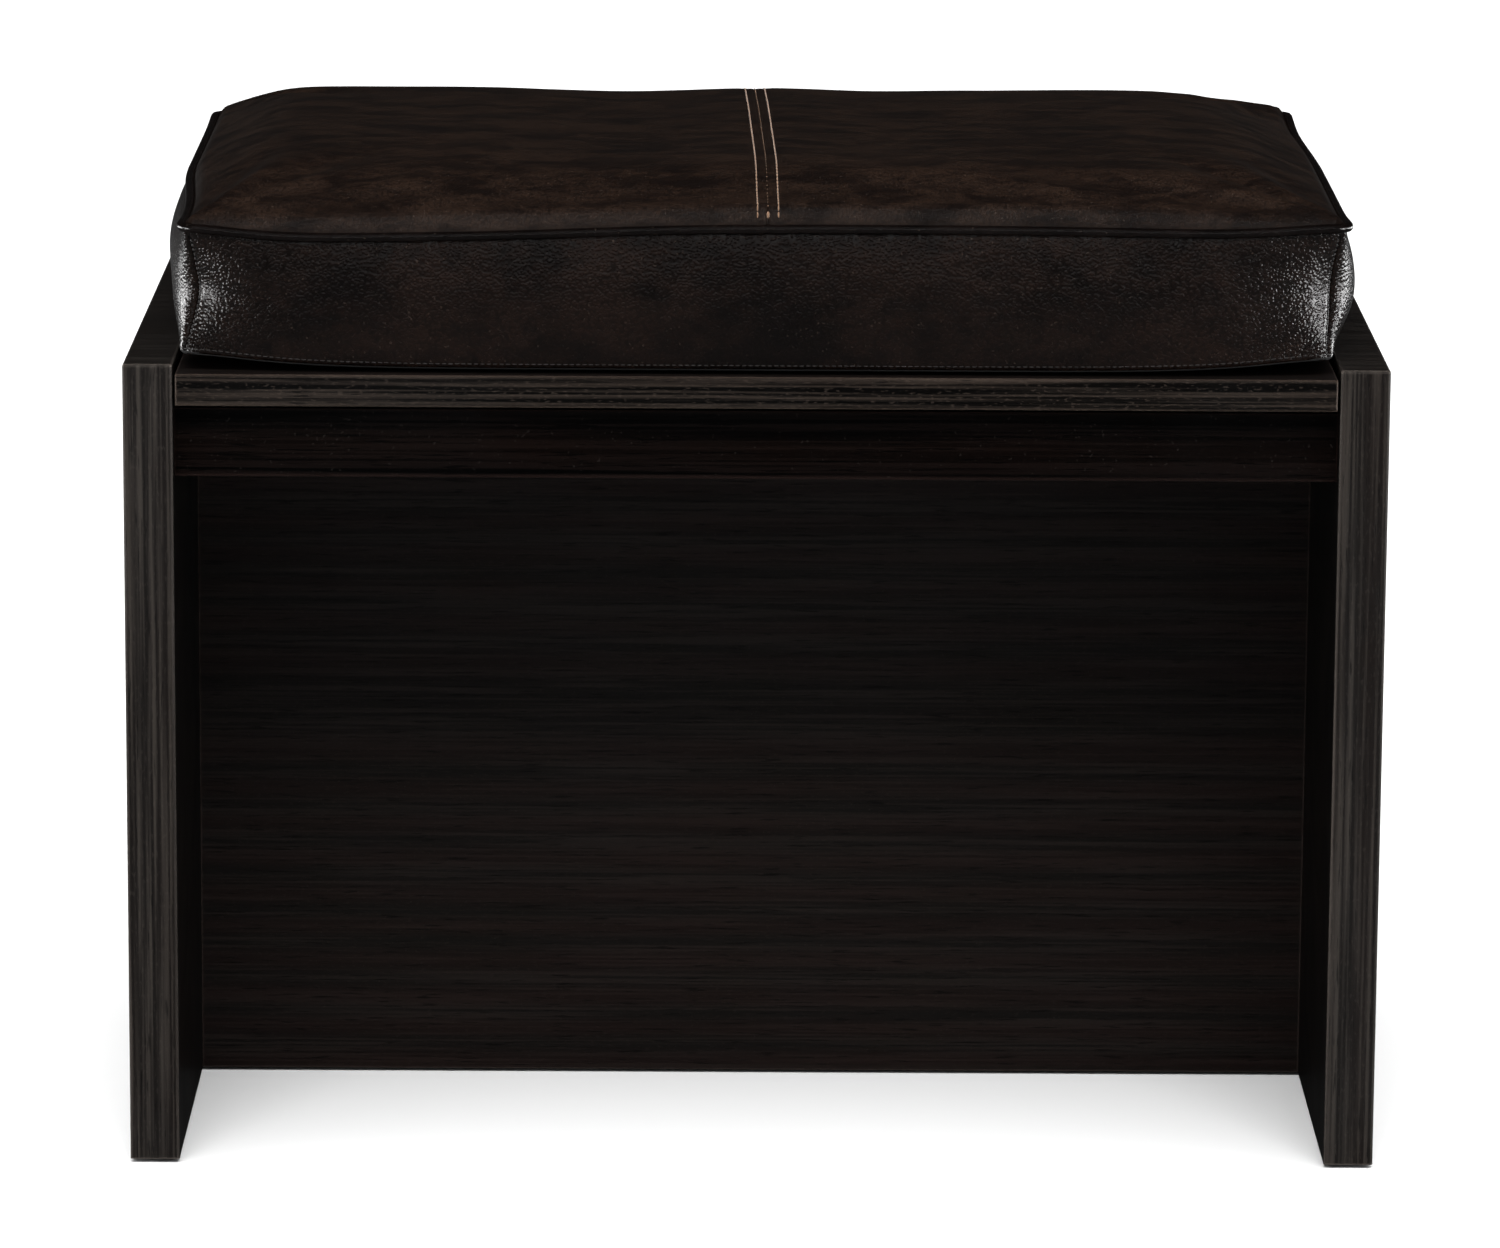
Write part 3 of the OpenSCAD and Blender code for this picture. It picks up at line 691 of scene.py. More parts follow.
def piece_from(name: str, bm: bmesh.types.BMesh, finish: Finish, body: str) -> bpy.types.Object:
    """Make a piece of a finished bmesh, dress it and join it to its body.

    Args:
        name: The piece's name.
        bm: Its shape, which is freed.
        finish: What it is dressed in.
        body: The body it moves with.

    Returns:
        The new object, at the origin.
    """
    mesh = bpy.data.meshes.new(name)
    bm.to_mesh(mesh)
    bm.free()
    mesh.polygons.foreach_set("use_smooth", [True] * len(mesh.polygons))
    piece = bpy.data.objects.new(name, mesh)
    bpy.context.scene.collection.objects.link(piece)
    finish.dress(piece)
    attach(piece, body)
    LOG.info("%s: %d faces", name, len(mesh.polygons))
    return piece


def bell(distance: float, width: float) -> float:
    """A bell curve, 1 at no distance."""
    return math.exp(-0.5 * (distance / width) ** 2)


def ease(value: float) -> float:
    """Ease a number from 0 to 1, and hold it there."""
    held = min(1.0, max(0.0, value))
    return held * held * (3.0 - 2.0 * held)


def inside(place: float, half: float) -> float:
    """How far inside an edge a place is: 1 in the middle, falling to 0 at the edge."""
    return max(0.0, 1 - (place / half) ** 2)


def spaced(points: list[Vector], step: float) -> list[tuple[Vector, Vector]]:
    """Find evenly spaced places on a line of points.

    Args:
        points: The line.
        step: The wanted distance between places.

    Returns:
        Each place and the line's direction there.
    """
    spans = [(end - start).length for start, end in zip(points, points[1:])]
    count = max(1, round(sum(spans) / step))
    pitch = sum(spans) / count
    places, index, passed = [], 0, 0.0
    for number in range(count):
        target = (number + 0.5) * pitch
        while passed + spans[index] < target:
            passed += spans[index]
            index += 1
        start, end = points[index], points[index + 1]
        places.append((start.lerp(end, (target - passed) / spans[index]), (end - start).normalized()))
    return places


@dataclass(frozen=True)
class Bead:
    """One kind of stitch or tooth: its half length and radius, its row's pitch and how far it stands out."""

    half_length: float
    radius: float
    pitch: float = 0.0
    lift: float = 0.0


class Beads:
    """Many small round-ended beads in one mesh, for stitches and teeth."""

    def __init__(self) -> None:
        """Make the bead that the others are copied from."""
        seed = bmesh.new()
        bmesh.ops.create_uvsphere(seed, u_segments=8, v_segments=6, radius=1.0)
        self.seed = bpy.data.meshes.new("bead")
        seed.to_mesh(self.seed)
        seed.free()
        self.bm = bmesh.new()

    def add(self, at: Vector, along: Vector, out: Vector, bead: Bead) -> None:
        """Add one bead.

        Args:
            at: Its middle.
            along: Which way it runs.
            out: The outward direction of the surface it lies on.
            bead: Which kind it is.
        """
        side = out.cross(along).normalized()
        lift = along.cross(side).normalized()
        axes = (side * bead.radius, lift * bead.radius, along * bead.half_length)
        turn = Matrix(axes).transposed().to_4x4()
        turn.translation = at
        copy = self.seed.copy()
        copy.transform(turn)
        self.bm.from_mesh(copy)
        bpy.data.meshes.remove(copy)


# ---------- Cushion ----------


class Region(IntEnum):
    """The cover's panels, and the material index that marks each."""

    BASE = 0
    TOP_LEFT = 1
    TOP_RIGHT = 2
    FRONT = 3
    REAR = 4
    LEFT = 5
    RIGHT = 6


TOPS = {Region.TOP_LEFT, Region.TOP_RIGHT}
BANDS = {Region.FRONT, Region.REAR, Region.LEFT, Region.RIGHT}


def panels_at(vert: bmesh.types.BMVert) -> set[int]:
    """Say which panels meet at a point of the shell."""
    return {face.material_index for face in vert.link_faces}


@dataclass(frozen=True)
class Dip:
    """A soft hollow across the cushion: where its middle is, how deep it is and how wide."""

    at: float
    depth: float
    width: float

    def depth_at(self, x: float) -> float:
        """How deep the hollow is at a place across."""
        return self.depth * bell(x - self.at, self.width)


@dataclass(frozen=True)
class Creases:
    """A field of creases: how deep they are, how fast they come along each axis, and where it starts."""

    depth: float
    rates: Triple
    start: Triple = (0.0, 0.0, 0.0)

    def at(self, x: float, y: float, z: float = 0.0) -> float:
        """How far the creases lift the cover at a place."""
        place = [part * rate + start for part, rate, start in zip((x, y, z), self.rates, self.start)]
        return self.depth * noise.noise(Vector(place))


@dataclass
class Shell:
    """The cover's outer surface: one closed grid, which is filled, settled and creased."""

    cells: tuple[int, int, int] = (104, 72, 14)
    bunching: Pair = (0.55, 0.45)
    corner_r: float = 7 * MM
    # The crown and the bulges
    side_bulge: float = 12 * MM
    front_bulge: float = 4 * MM
    extra_crown: float = 4.5 * MM
    crown_powers: Pair = (0.19, 0.15)
    side_power: float = 0.4
    front_powers: Pair = (0.55, 0.3)
    first_share: float = 0.75
    pressure: float = 4.0
    fill_frames: int = 20
    fill_cap: float = 6 * MM
    # The raised corners and the wavy front edge
    front_ear: float = 3.0 * MM
    rear_ears: Pair = (2.0 * MM, 5.0 * MM)
    ear_width: float = 26 * MM
    front_curl: float = 3.5 * MM
    curl_width: float = 50 * MM
    front_lift: float = 1.0 * MM
    front_width: float = 50 * MM
    sags: tuple[Dip, ...] = (
        Dip(-235 * MM, 5.5 * MM, 75 * MM),
        Dip(-120 * MM, 2.0 * MM, 50 * MM),
        Dip(250 * MM, 1.6 * MM, 60 * MM),
    )
    # The top's hollows
    dips: tuple[Dip, ...] = (
        Dip(-72 * MM, 3.0 * MM, 36 * MM),
        Dip(62 * MM, 2.0 * MM, 32 * MM),
        Dip(165 * MM, 0.4 * MM, 50 * MM),
        Dip(-190 * MM, -0.8 * MM, 50 * MM),
        Dip(215 * MM, -2.2 * MM, 40 * MM),
        Dip(-265 * MM, -4.5 * MM, 30 * MM),
    )
    dips_end: float = 0.75
    dips_power: float = 0.3
    clouds: Creases = Creases(1.1 * MM, (14, 11, 0), (0, 0, 3.1))
    stitch_rows: float = 10.5 * MM
    centre_dip: Dip = Dip(0.0, 0.4 * MM, 2.2 * MM)
    centre_power: float = 0.2
    stitch_dip: Dip = Dip(0.0, 0.35 * MM, 1.6 * MM)
    # The plan: drawn-in corners, a straying centre seam and a top that is wider than the base
    corner_back: float = 9 * MM
    back_reach: Pair = (15 * MM, 12 * MM)
    corner_in: float = 7 * MM
    in_reach: Pair = (12 * MM, 18 * MM)
    corner_bow: Dip = Dip(0.0, 1.5 * MM, 24 * MM)
    seam_drift: Pair = (2.0 * MM, -3.3 * MM)
    drift_width: float = 60 * MM
    spread: Pair = (5.0 * MM, 5.5 * MM)
    spread_power: int = 4
    spread_rate: float = 2.0
    rear_taper: float = 0.7
    front_taper: float = 1.4
    # The creases
    seam_hold: float = 6 * MM
    top_pucker: Creases = Creases(0.55 * MM, (95, 22, 0), (0, 0, 1.7))
    pucker_reach: float = 20 * MM
    top_fold: Creases = Creases(1.3 * MM, (60, 18, 0), (0, 0, 5.3))
    fold_reach: float = 40 * MM
    band_hold: float = 5.0
    band_crease: Creases = Creases(0.75 * MM, (16, 0, 150), (0, 9.1, 0))
    crease_reach: float = 45 * MM
    pinch: Dip = Dip(0.52, 1.2 * MM, 0.09)
    pinch_reach: float = 35 * MM
    band_ripple: Creases = Creases(0.55 * MM, (34, 34, 38), (0, 0, 2.0))
    band_pucker: Creases = Creases(0.35 * MM, (120, 120, 20))
    band_pucker_rise: float = 0.22
    bm: bmesh.types.BMesh = field(init=False)
    flat: list[Vector] = field(init=False)
    surface: BVHTree = field(init=False)

    def __post_init__(self) -> None:
        """Take the cushion's seams and heights from the frame."""
        welt_low, welt_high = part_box("cushion_piping")
        self.piping_r = (welt_high.z - welt_low.z) / 2
        self.half_x = welt_high.x - self.piping_r
        self.half_y = welt_high.y - self.piping_r
        self.base_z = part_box("cushion_base")[0].z
        self.seam_z = (welt_low.z + welt_high.z) / 2
        self.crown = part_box("cushion_top_left")[1].z - self.seam_z + self.extra_crown
        self.rear_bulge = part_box("cushion_rear_band")[1].y - self.half_y

    def build(self) -> None:
        """Make the grid and bring it to the filled, creased shape."""
        self.make_block()
        self.mark_regions()
        self.place()
        self.flat = [vert.co.copy() for vert in self.bm.verts]
        self.swell()
        self.fill_with_pressure()
        self.level()
        self.settle()
        self.wrinkle()
        self.bm.normal_update()
        self.surface = BVHTree.FromBMesh(self.bm)

    def make_block(self) -> None:
        """Make a closed grid, two units across each way."""
        self.bm = bmesh.new()
        bmesh.ops.create_cube(self.bm, size=2.0)
        for axis, count in enumerate(self.cells):
            along = [e for e in self.bm.edges if abs((e.verts[0].co - e.verts[1].co)[axis]) > SMALL]
            bmesh.ops.subdivide_edges(self.bm, edges=along, cuts=count - 1, use_grid_fill=True)

    def mark_regions(self) -> None:
        """Mark each face of the grid with the panel it belongs to."""
        self.bm.normal_update()
        for face in self.bm.faces:
            way = face.normal
            if way.z > SMALL:
                region = Region.TOP_RIGHT if face.calc_center_median().x > 0 else Region.TOP_LEFT
            elif way.z < -SMALL:
                region = Region.BASE
            elif abs(way.y) > SMALL:
                region = Region.REAR if way.y > 0 else Region.FRONT
            else:
                region = Region.RIGHT if way.x > 0 else Region.LEFT
            face.material_index = region

    def place(self) -> None:
        """Bring the grid to size, with more lines near the seams, and round its upright corners."""
        across, up = self.bunching
        for vert in self.bm.verts:
            u, v, w = vert.co
            x = self.half_x * (u - across * math.sin(2 * math.pi * u) / (2 * math.pi))
            y = self.half_y * (v + across * math.sin(math.pi * v) / math.pi)
            rise = 0.5 + 0.5 * (w + up * math.sin(math.pi * w) / math.pi)
            inner = Vector((self.half_x - self.corner_r, self.half_y - self.corner_r))
            over = [(abs(x) - inner.x) / self.corner_r, (abs(y) - inner.y) / self.corner_r]
            if min(over) > 0:
                bent_x = over[0] * math.sqrt(1 - over[1] ** 2 / 2)
                bent_y = over[1] * math.sqrt(1 - over[0] ** 2 / 2)
                x = math.copysign(inner.x + bent_x * self.corner_r, x)
                y = math.copysign(inner.y + bent_y * self.corner_r, y)
            vert.co = (x, y, self.base_z + rise * (self.seam_z - self.base_z))

    def rise_of(self, co: Vector) -> float:
        """How far up the band a point is, from 0 at the base to 1 at the piping."""
        return (co.z - self.base_z) / (self.seam_z - self.base_z)

    def margins(self, co: Vector) -> Vector:
        """How far a point is from the nearest side and from the nearer of the front and rear."""
        return Vector((self.half_x - abs(co.x), self.half_y - abs(co.y)))

    def drift(self, y: float) -> float:
        """How far the centre seam strays from the middle."""
        return self.seam_drift[0] + self.seam_drift[1] * y / self.half_y

    # Filling

    def swell(self) -> None:
        """Move the top and the bands part of the way out to their crown and bulge."""
        for vert in self.bm.verts:
            x, y, _ = vert.co
            across, deep = inside(x, self.half_x), inside(y, self.half_y)
            bow = math.sin(math.pi * self.rise_of(vert.co))
            marks = panels_at(vert)
            if marks <= TOPS:
                powers = self.crown_powers
                vert.co.z += self.first_share * self.crown * across ** powers[0] * deep ** powers[1]
            elif marks <= {Region.LEFT, Region.RIGHT}:
                bulge = self.first_share * self.side_bulge * bow * deep**self.side_power
                vert.co.x += math.copysign(bulge, x)
            elif marks <= {Region.FRONT, Region.REAR}:
                powers = self.front_powers
                bulge = self.first_share * self.front_bulge * bow ** powers[0] * across ** powers[1]
                vert.co.y += math.copysign(bulge, y)

    def is_held(self, vert: bmesh.types.BMVert) -> bool:
        """Say whether a point is on the base or on a seam other than the centre one."""
        marks = panels_at(vert)
        return Region.BASE in marks or (len(marks) > 1 and marks != TOPS)

    def fill_with_pressure(self) -> None:
        """Blow the cover up with cloth simulation, held at its seams, and cap how far it moves."""
        mesh = bpy.data.meshes.new("filling")
        self.bm.to_mesh(mesh)
        probe = bpy.data.objects.new("filling", mesh)
        bpy.context.scene.collection.objects.link(probe)
        self.bm.verts.index_update()
        held = [vert.index for vert in self.bm.verts if self.is_held(vert)]
        probe.vertex_groups.new(name="seams").add(held, 1.0, "REPLACE")
        cloth = probe.modifiers.new("fill", "CLOTH")
        cloth.settings.quality = 6
        cloth.settings.mass = 0.4
        cloth.settings.tension_stiffness = 25
        cloth.settings.compression_stiffness = 25
        cloth.settings.shear_stiffness = 12
        cloth.settings.bending_stiffness = 4
        cloth.settings.use_pressure = True
        cloth.settings.uniform_pressure_force = self.pressure
        cloth.settings.effector_weights.gravity = 0
        cloth.settings.vertex_group_mass = "seams"
        cloth.collision_settings.use_collision = False
        scene = bpy.context.scene
        for number in range(self.fill_frames):
            scene.frame_set(number + 1)
        filled = probe.evaluated_get(bpy.context.evaluated_depsgraph_get()).data
        for vert, end in zip(self.bm.verts, filled.vertices):
            move = end.co - vert.co
            if move.length > SMALL:
                reach = self.fill_cap * math.tanh(move.length / self.fill_cap)
                vert.co += move * (reach / move.length)
        scene.frame_set(1)
        bpy.data.objects.remove(probe)
        bpy.data.meshes.remove(mesh)

    def level(self) -> None:
        """Scale the filled shape so that its crown and bulges are as high as the cushion's."""
        groups = (
            (TOPS, 2, self.crown),
            ({Region.LEFT}, 0, self.side_bulge),
            ({Region.RIGHT}, 0, self.side_bulge),
            ({Region.FRONT}, 1, self.front_bulge),
            ({Region.REAR}, 1, self.rear_bulge),
        )
        for regions, axis, target in groups:
            moved = []
            for vert, start in zip(self.bm.verts, self.flat):
                if panels_at(vert) <= regions:
                    moved.append((vert, start, vert.co[axis] - start[axis]))
            scale = target / max(abs(offset) for _, _, offset in moved)
            for vert, start, offset in moved:
                vert.co[axis] = start[axis] + scale * offset

    # Settling

    def settle(self) -> None:
        """Give the cushion its unevenness: soft dips, raised corners and a slightly wavy edge."""
        for vert, start in zip(self.bm.verts, self.flat):
            on_top = vert.co.z > self.seam_z + SMALL or start.z > self.seam_z - SMALL
            if start.z > self.base_z + SMALL or start.y < 0:
                vert.co.z += self.edge_lift(start) - (self.top_dip(start) if on_top else 0.0)
            self.draw_in(vert, start)

    def edge_lift(self, start: Vector) -> float:
        """Find how far the raised corners and the wavy front edge lift a point.

        Args:
            start: Where the point was on the flat block.

        Returns:
            The lift.
        """
        rise = ease(self.rise_of(start))
        corner = self.margins(start).length
        ear = self.front_ear if start.y < 0 else self.rear_ears[int(start.x > 0)]
        lift = ear * bell(corner, self.ear_width)
        if start.y < 0:
            lift += (1 - rise) * self.front_curl * bell(corner, self.curl_width)
        wave = self.front_lift - sum(sag.depth_at(start.x) for sag in self.sags)
        return lift + rise * bell(start.y + self.half_y, self.front_width) * wave

    def top_dip(self, start: Vector) -> float:
        """Find how far the top sinks in its dips, along its centre seam and under its stitches.

        Args:
            start: Where the point was on the flat block.

        Returns:
            The depth.
        """
        x, y, _ = start
        edge = max(abs(x) / self.half_x - self.dips_end, 0) / (1 - self.dips_end)
        deep = inside(y, self.half_y)
        share = max(0.0, 1 - edge**2) * deep**self.dips_power
        dip = share * (sum(dip.depth_at(x) for dip in self.dips) - self.clouds.at(x, y))
        seam = self.centre_dip.depth_at(x) * deep**self.centre_power
        return dip + seam + self.stitch_dip.depth_at(abs(x) - self.stitch_rows / 2)

    def draw_in(self, vert: bmesh.types.BMVert, start: Vector) -> None:
        """Draw the corners in at their waist, and shift the centre seam and the sides of the top.

        Args:
            vert: The point to move.
            start: Where it was on the flat block.
        """
        x, y, _ = start
        rise = self.rise_of(start)
        aside, behind = self.margins(start)
        waist = math.sin(math.pi * min(1.0, max(0.0, rise)))
        back = waist * math.exp(-aside / self.back_reach[0] - behind / self.back_reach[1])
        inwards = waist * math.exp(-aside / self.in_reach[0] - behind / self.in_reach[1])
        bow = self.corner_bow.depth_at(self.margins(start).length)
        vert.co.x -= math.copysign(self.corner_in * inwards, x)
        vert.co.y -= math.copysign(self.corner_back * back + bow, y)
        if start.z > self.seam_z - SMALL:
            vert.co.x += self.drift(y) * bell(x, self.drift_width)
        widen = self.widening(x, y) * (x / self.half_x) ** self.spread_power
        vert.co.x += math.copysign(1.0, x) * widen * ease(self.spread_rate * rise)

    def widening(self, x: float, y: float) -> float:
        """How far a side stands out: less towards the right's rear and the left's front."""
        if x > 0:
            return self.spread[1] * (1 - self.rear_taper * ease(y / self.half_y))
        return self.spread[0] * (1 - self.front_taper * ease(-self.front_taper * y / self.half_y))

    def wrinkle(self) -> None:
        """Crease the cover near its corners and pucker it along the piping."""
        self.bm.normal_update()
        moves = []
        for vert, start in zip(self.bm.verts, self.flat):
            marks = panels_at(vert)
            depth = 0.0
            if marks <= TOPS:
                depth = self.top_creases(start)
            elif marks <= BANDS:
                depth = self.band_creases(start)
            moves.append(vert.normal * depth)
        for vert, move in zip(self.bm.verts, moves):
            vert.co += move

    def top_creases(self, start: Vector) -> float:
        """Find how far the creases of the top lift a point.

        Args:
            start: Where the point was on the flat block.

        Returns:
            The lift, which is less than nothing in a crease.
        """
        x, y, _ = start
        aside, behind = self.margins(start)
        inward, along = (behind, x) if behind < aside else (aside, y)
        pucker = self.top_pucker.at(along, inward) * math.exp(-inward / self.pucker_reach)
        fold = self.top_fold.at(x + y, x - y) * bell(self.margins(start).length, self.fold_reach)
        return (pucker + fold) * ease(inward / self.seam_hold)

    def band_creases(self, start: Vector) -> float:
        """Find how far the creases of a band lift a point.

        Args:
            start: Where the point was on the flat block.

        Returns:
            The lift, which is less than nothing in a crease.
        """
        x, y, z = start
        rise = self.rise_of(start)
        corner = self.margins(start).length
        seam = min(1.0, self.band_hold * rise) * min(1.0, self.band_hold * (1 - rise))
        crease = self.band_crease.at(x + y, 0.0, z) * math.exp(-corner / self.crease_reach)
        pucker = self.band_pucker.at(x, y, z) * bell(1 - rise, self.band_pucker_rise)
        pinch = self.pinch.depth_at(rise) * math.exp(-corner / self.pinch_reach)
        return (crease + self.band_ripple.at(x, y, z) + pucker) * seam - pinch

    # Finding places on it

    def seam(self, one: set[int], other: set[int]) -> list[bmesh.types.BMVert]:
        """Follow the seam between two sets of panels.

        Args:
            one: The panels on one side.
            other: The panels on the other side.

        Returns:
            The seam's points in order; a closed seam ends where it starts.
        """
        links: dict[bmesh.types.BMVert, list[bmesh.types.BMVert]] = {}
        for edge in self.bm.edges:
            first, second = (face.material_index for face in edge.link_faces)
            between = (first in one and second in other) or (first in other and second in one)
            if between:
                for start, end in (edge.verts, reversed(edge.verts)):
                    links.setdefault(start, []).append(end)
        ends = [vert for vert, near in links.items() if len(near) == 1]
        line = [min(ends or links, key=lambda vert: (vert.co.z, vert.co.y, vert.co.x))]
        while True:
            ahead = [vert for vert in links[line[-1]] if vert not in line[-2:-1]]
            if not ahead:
                return line
            line.append(ahead[0])
            if line[-1] is line[0]:
                return line

    def drop(self, x: float, y: float) -> tuple[Vector, Vector]:
        """Find the cover's top below a point, and its outward direction there."""
        place, out, _, _ = self.surface.ray_cast(Vector((x, y, 1.0)), Vector((0, 0, -1)))
        return place, out


@dataclass
class Cushion:
    """The boxed cushion: a foam block in a cover of seven panels, with piping round its top."""

    shell: Shell = field(default_factory=Shell)
    cover_t: float = 1.2 * MM
    roll: float = 1.5 * MM
    roll_depth: float = 1.5 * MM
    centre_roll: float = 0.25
    centre_overlap: float = 0.4 * MM
    foam_gap: float = 3.2 * MM
    foam_smoothing: int = 3
    piping_out: float = 0.35
    allowance_r: float = 1.3 * MM
    allowance_depth: float = 1.9 * MM
    row_end: float = 0.5 * MM
    row_steps: int = 60
    tan_stitch: Bead = Bead(1.62 * MM, 0.42 * MM, pitch=3.6 * MM, lift=0.12 * MM)
    seam_speck: Bead = Bead(0.4 * MM, 0.22 * MM, pitch=4.2 * MM)
    thread_end: Bead = Bead(1.9 * MM, 0.75 * MM)
    end_margin: float = 1.5
    end_step: float = 2 * MM
    corner_stitch: Bead = Bead(0.85 * MM, 0.35 * MM, pitch=2.6 * MM, lift=0.1 * MM)
    corner_margin: float = 2.2 * MM
    base_stitch: Bead = Bead(1.1 * MM, 0.28 * MM, pitch=3.2 * MM, lift=0.05 * MM)
    base_margin: float = 3.2 * MM

    def build(self) -> None:
        """Make every piece of the cushion, from the foam out."""
        self.shell.build()
        self.make_foam()
        self.make_panels()
        self.make_piping()
        self.make_allowances()
        self.make_centre_stitches()
        self.make_seam_stitches()

    # Pieces cut from the shell

    def panel(self, name: str, region: Region, finish: Finish) -> bpy.types.Object:
        """Cut one panel from the shell, and roll its edges into the seams.

        Args:
            name: The panel's name.
            region: Which part of the shell it is.
            finish: What it is dressed in.

        Returns:
            The panel.
        """
        bm = self.shell.bm.copy()
        others = [face for face in bm.faces if face.material_index != region]
        bmesh.ops.delete(bm, geom=others, context="FACES")
        for face in bm.faces:
            face.material_index = 0
        rolled = {"thickness": self.roll, "use_boundary": True, "use_even_offset": True}
        bmesh.ops.inset_region(bm, faces=bm.faces[:], **rolled)
        bm.normal_update()
        for vert, way in [(vert, vert.normal.copy()) for vert in bm.verts if vert.is_boundary]:
            off_centre = abs(vert.co.x - self.shell.drift(vert.co.y))
            at_centre = region in TOPS and off_centre < self.roll / 2
            vert.co -= way * self.roll_depth * (self.centre_roll if at_centre else 1.0)
            if at_centre:
                vert.co.x += self.centre_overlap if region == Region.TOP_LEFT else -self.centre_overlap
        piece = piece_from(name, bm, finish, "lid")
        wall = piece.modifiers.new("wall", "SOLIDIFY")
        wall.thickness = self.cover_t
        wall.offset = -1
        smooth = piece.modifiers.new("smooth", "SUBSURF")
        smooth.levels = 1
        smooth.render_levels = 1
        return piece

    def make_panels(self) -> None:
        """Make the seven panels of the cover."""
        panels = (
            ("cover_top_left", Region.TOP_LEFT, LEATHER_TOP, "cushion_top_left"),
            ("cover_top_right", Region.TOP_RIGHT, LEATHER_TOP, "cushion_top_right"),
            ("cover_front_band", Region.FRONT, LEATHER_BAND, "cushion_front_band"),
            ("cover_rear_band", Region.REAR, LEATHER_BAND, "cushion_rear_band"),
            ("cover_left_band", Region.LEFT, LEATHER_BAND, "cushion_left_band"),
            ("cover_right_band", Region.RIGHT, LEATHER_BAND, "cushion_right_band"),
        )
        for name, region, finish, node in panels:
            piece = self.panel(name, region, finish)
            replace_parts(piece, node)
        base = self.panel("cover_base", Region.BASE, UNDERLINING)
        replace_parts(base, "cushion_base")

    def make_foam(self) -> None:
        """Make the foam block that fills the cover."""
        bm = self.shell.bm.copy()
        for face in bm.faces:
            face.material_index = 0
        every_way = {"use_axis_x": True, "use_axis_y": True, "use_axis_z": True}
        for _ in range(self.foam_smoothing):
            bmesh.ops.smooth_vert(bm, verts=bm.verts[:], factor=0.5, **every_way)
        bm.normal_update()
        sunk = [(vert, vert.normal * self.foam_gap) for vert in bm.verts]
        for vert, depth in sunk:
            vert.co -= depth
        piece = piece_from("foam_block", bm, FOAM, "lid")
        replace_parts(piece, "cushion_foam")

    # Seams

    def cord(self, name: str, lines: list[list[Vector]], radius: float, closed: bool) -> bpy.types.Object:
        """Make a round cord along each of some lines.

        Args:
            name: The piece's name.
            lines: The points of each line.
            radius: The cord's radius.
            closed: Whether each line runs back to its start.

        Returns:
            The cord, dressed in leather and riding on the lid.
        """
        curve = bpy.data.curves.new(name, "CURVE")
        curve.dimensions = "3D"
        curve.bevel_depth = radius
        curve.bevel_resolution = 4
        curve.resolution_u = 2
        curve.use_fill_caps = not closed
        for line in lines:
            spline = curve.splines.new("NURBS")
            spline.points.add(len(line) - 1)
            for point, place in zip(spline.points, line):
                point.co = (*place, 1.0)
            spline.order_u = 4
            spline.use_cyclic_u = closed
            spline.use_endpoint_u = not closed
        piece = bpy.data.objects.new(name, curve)
        bpy.context.scene.collection.objects.link(piece)
        LEATHER_PIPING.dress(piece)
        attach(piece, "lid")
        LOG.info("%s: %d lines", name, len(lines))
        return piece

    def make_piping(self) -> None:
        """Make the piping, a covered cord in the seam between the top and the bands."""
        line = self.shell.seam(TOPS, BANDS)[:-1]
        radius = self.shell.piping_r
        outwards = [vert.co + vert.normal * (self.piping_out * radius) for vert in line]
        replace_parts(self.cord("piping", [outwards], radius, closed=True), "cushion_piping")

    def corner_seams(self) -> list[tuple[Region, Region, list[bmesh.types.BMVert]]]:
        """List the four upright seams, each with the two bands that it joins."""
        seams = []
        for across in (Region.FRONT, Region.REAR):
            for side in (Region.LEFT, Region.RIGHT):
                seams.append((across, side, self.shell.seam({across}, {side})))
        return seams

    def make_allowances(self) -> None:
        """Make the seam allowances, which close the corner and centre seams from inside."""
        seams = [self.shell.seam({Region.TOP_LEFT}, {Region.TOP_RIGHT})]
        seams += [line for _, _, line in self.corner_seams()]
        sunk = [[vert.co - vert.normal * self.allowance_depth for vert in line] for line in seams]
        self.cord("seam_allowances", sunk, self.allowance_r, closed=False)

    def centre_row(self, aside: float) -> list[Vector]:
        """Follow the centre seam, or a row beside it, from the front to the rear.

        Args:
            aside: How far to the right of the seam the row is.

        Returns:
            Places on the cover's top.
        """
        reach = self.shell.half_y - self.shell.piping_r - self.row_end
        ways = [reach * step / self.row_steps for step in range(-self.row_steps, self.row_steps + 1)]
        return [self.shell.drop(aside + self.shell.drift(y), y)[0] for y in ways]

    def make_centre_stitches(self) -> None:
        """Make the two rows of tan stitches beside the centre seam, and the seam's own thread."""
        beads = Beads()
        half = self.shell.stitch_rows / 2
        rows = ((-half, self.tan_stitch), (half, self.tan_stitch), (0.0, self.seam_speck))
        for aside, bead in rows:
            for at, along in spaced(self.centre_row(aside), bead.pitch):
                out = self.shell.drop(at.x, at.y)[1]
                beads.add(at + out * bead.lift, along, out, bead)
        y = self.end_margin * self.shell.piping_r - self.shell.half_y
        at, out = self.shell.drop(self.shell.drift(y), y)
        further, _ = self.shell.drop(self.shell.drift(y), y + self.end_step)
        beads.add(at, (further - at).normalized(), out, self.thread_end)
        piece = piece_from("centre_stitches", beads.bm, TAN_THREAD, "lid")
        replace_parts(piece, "seam_thread")

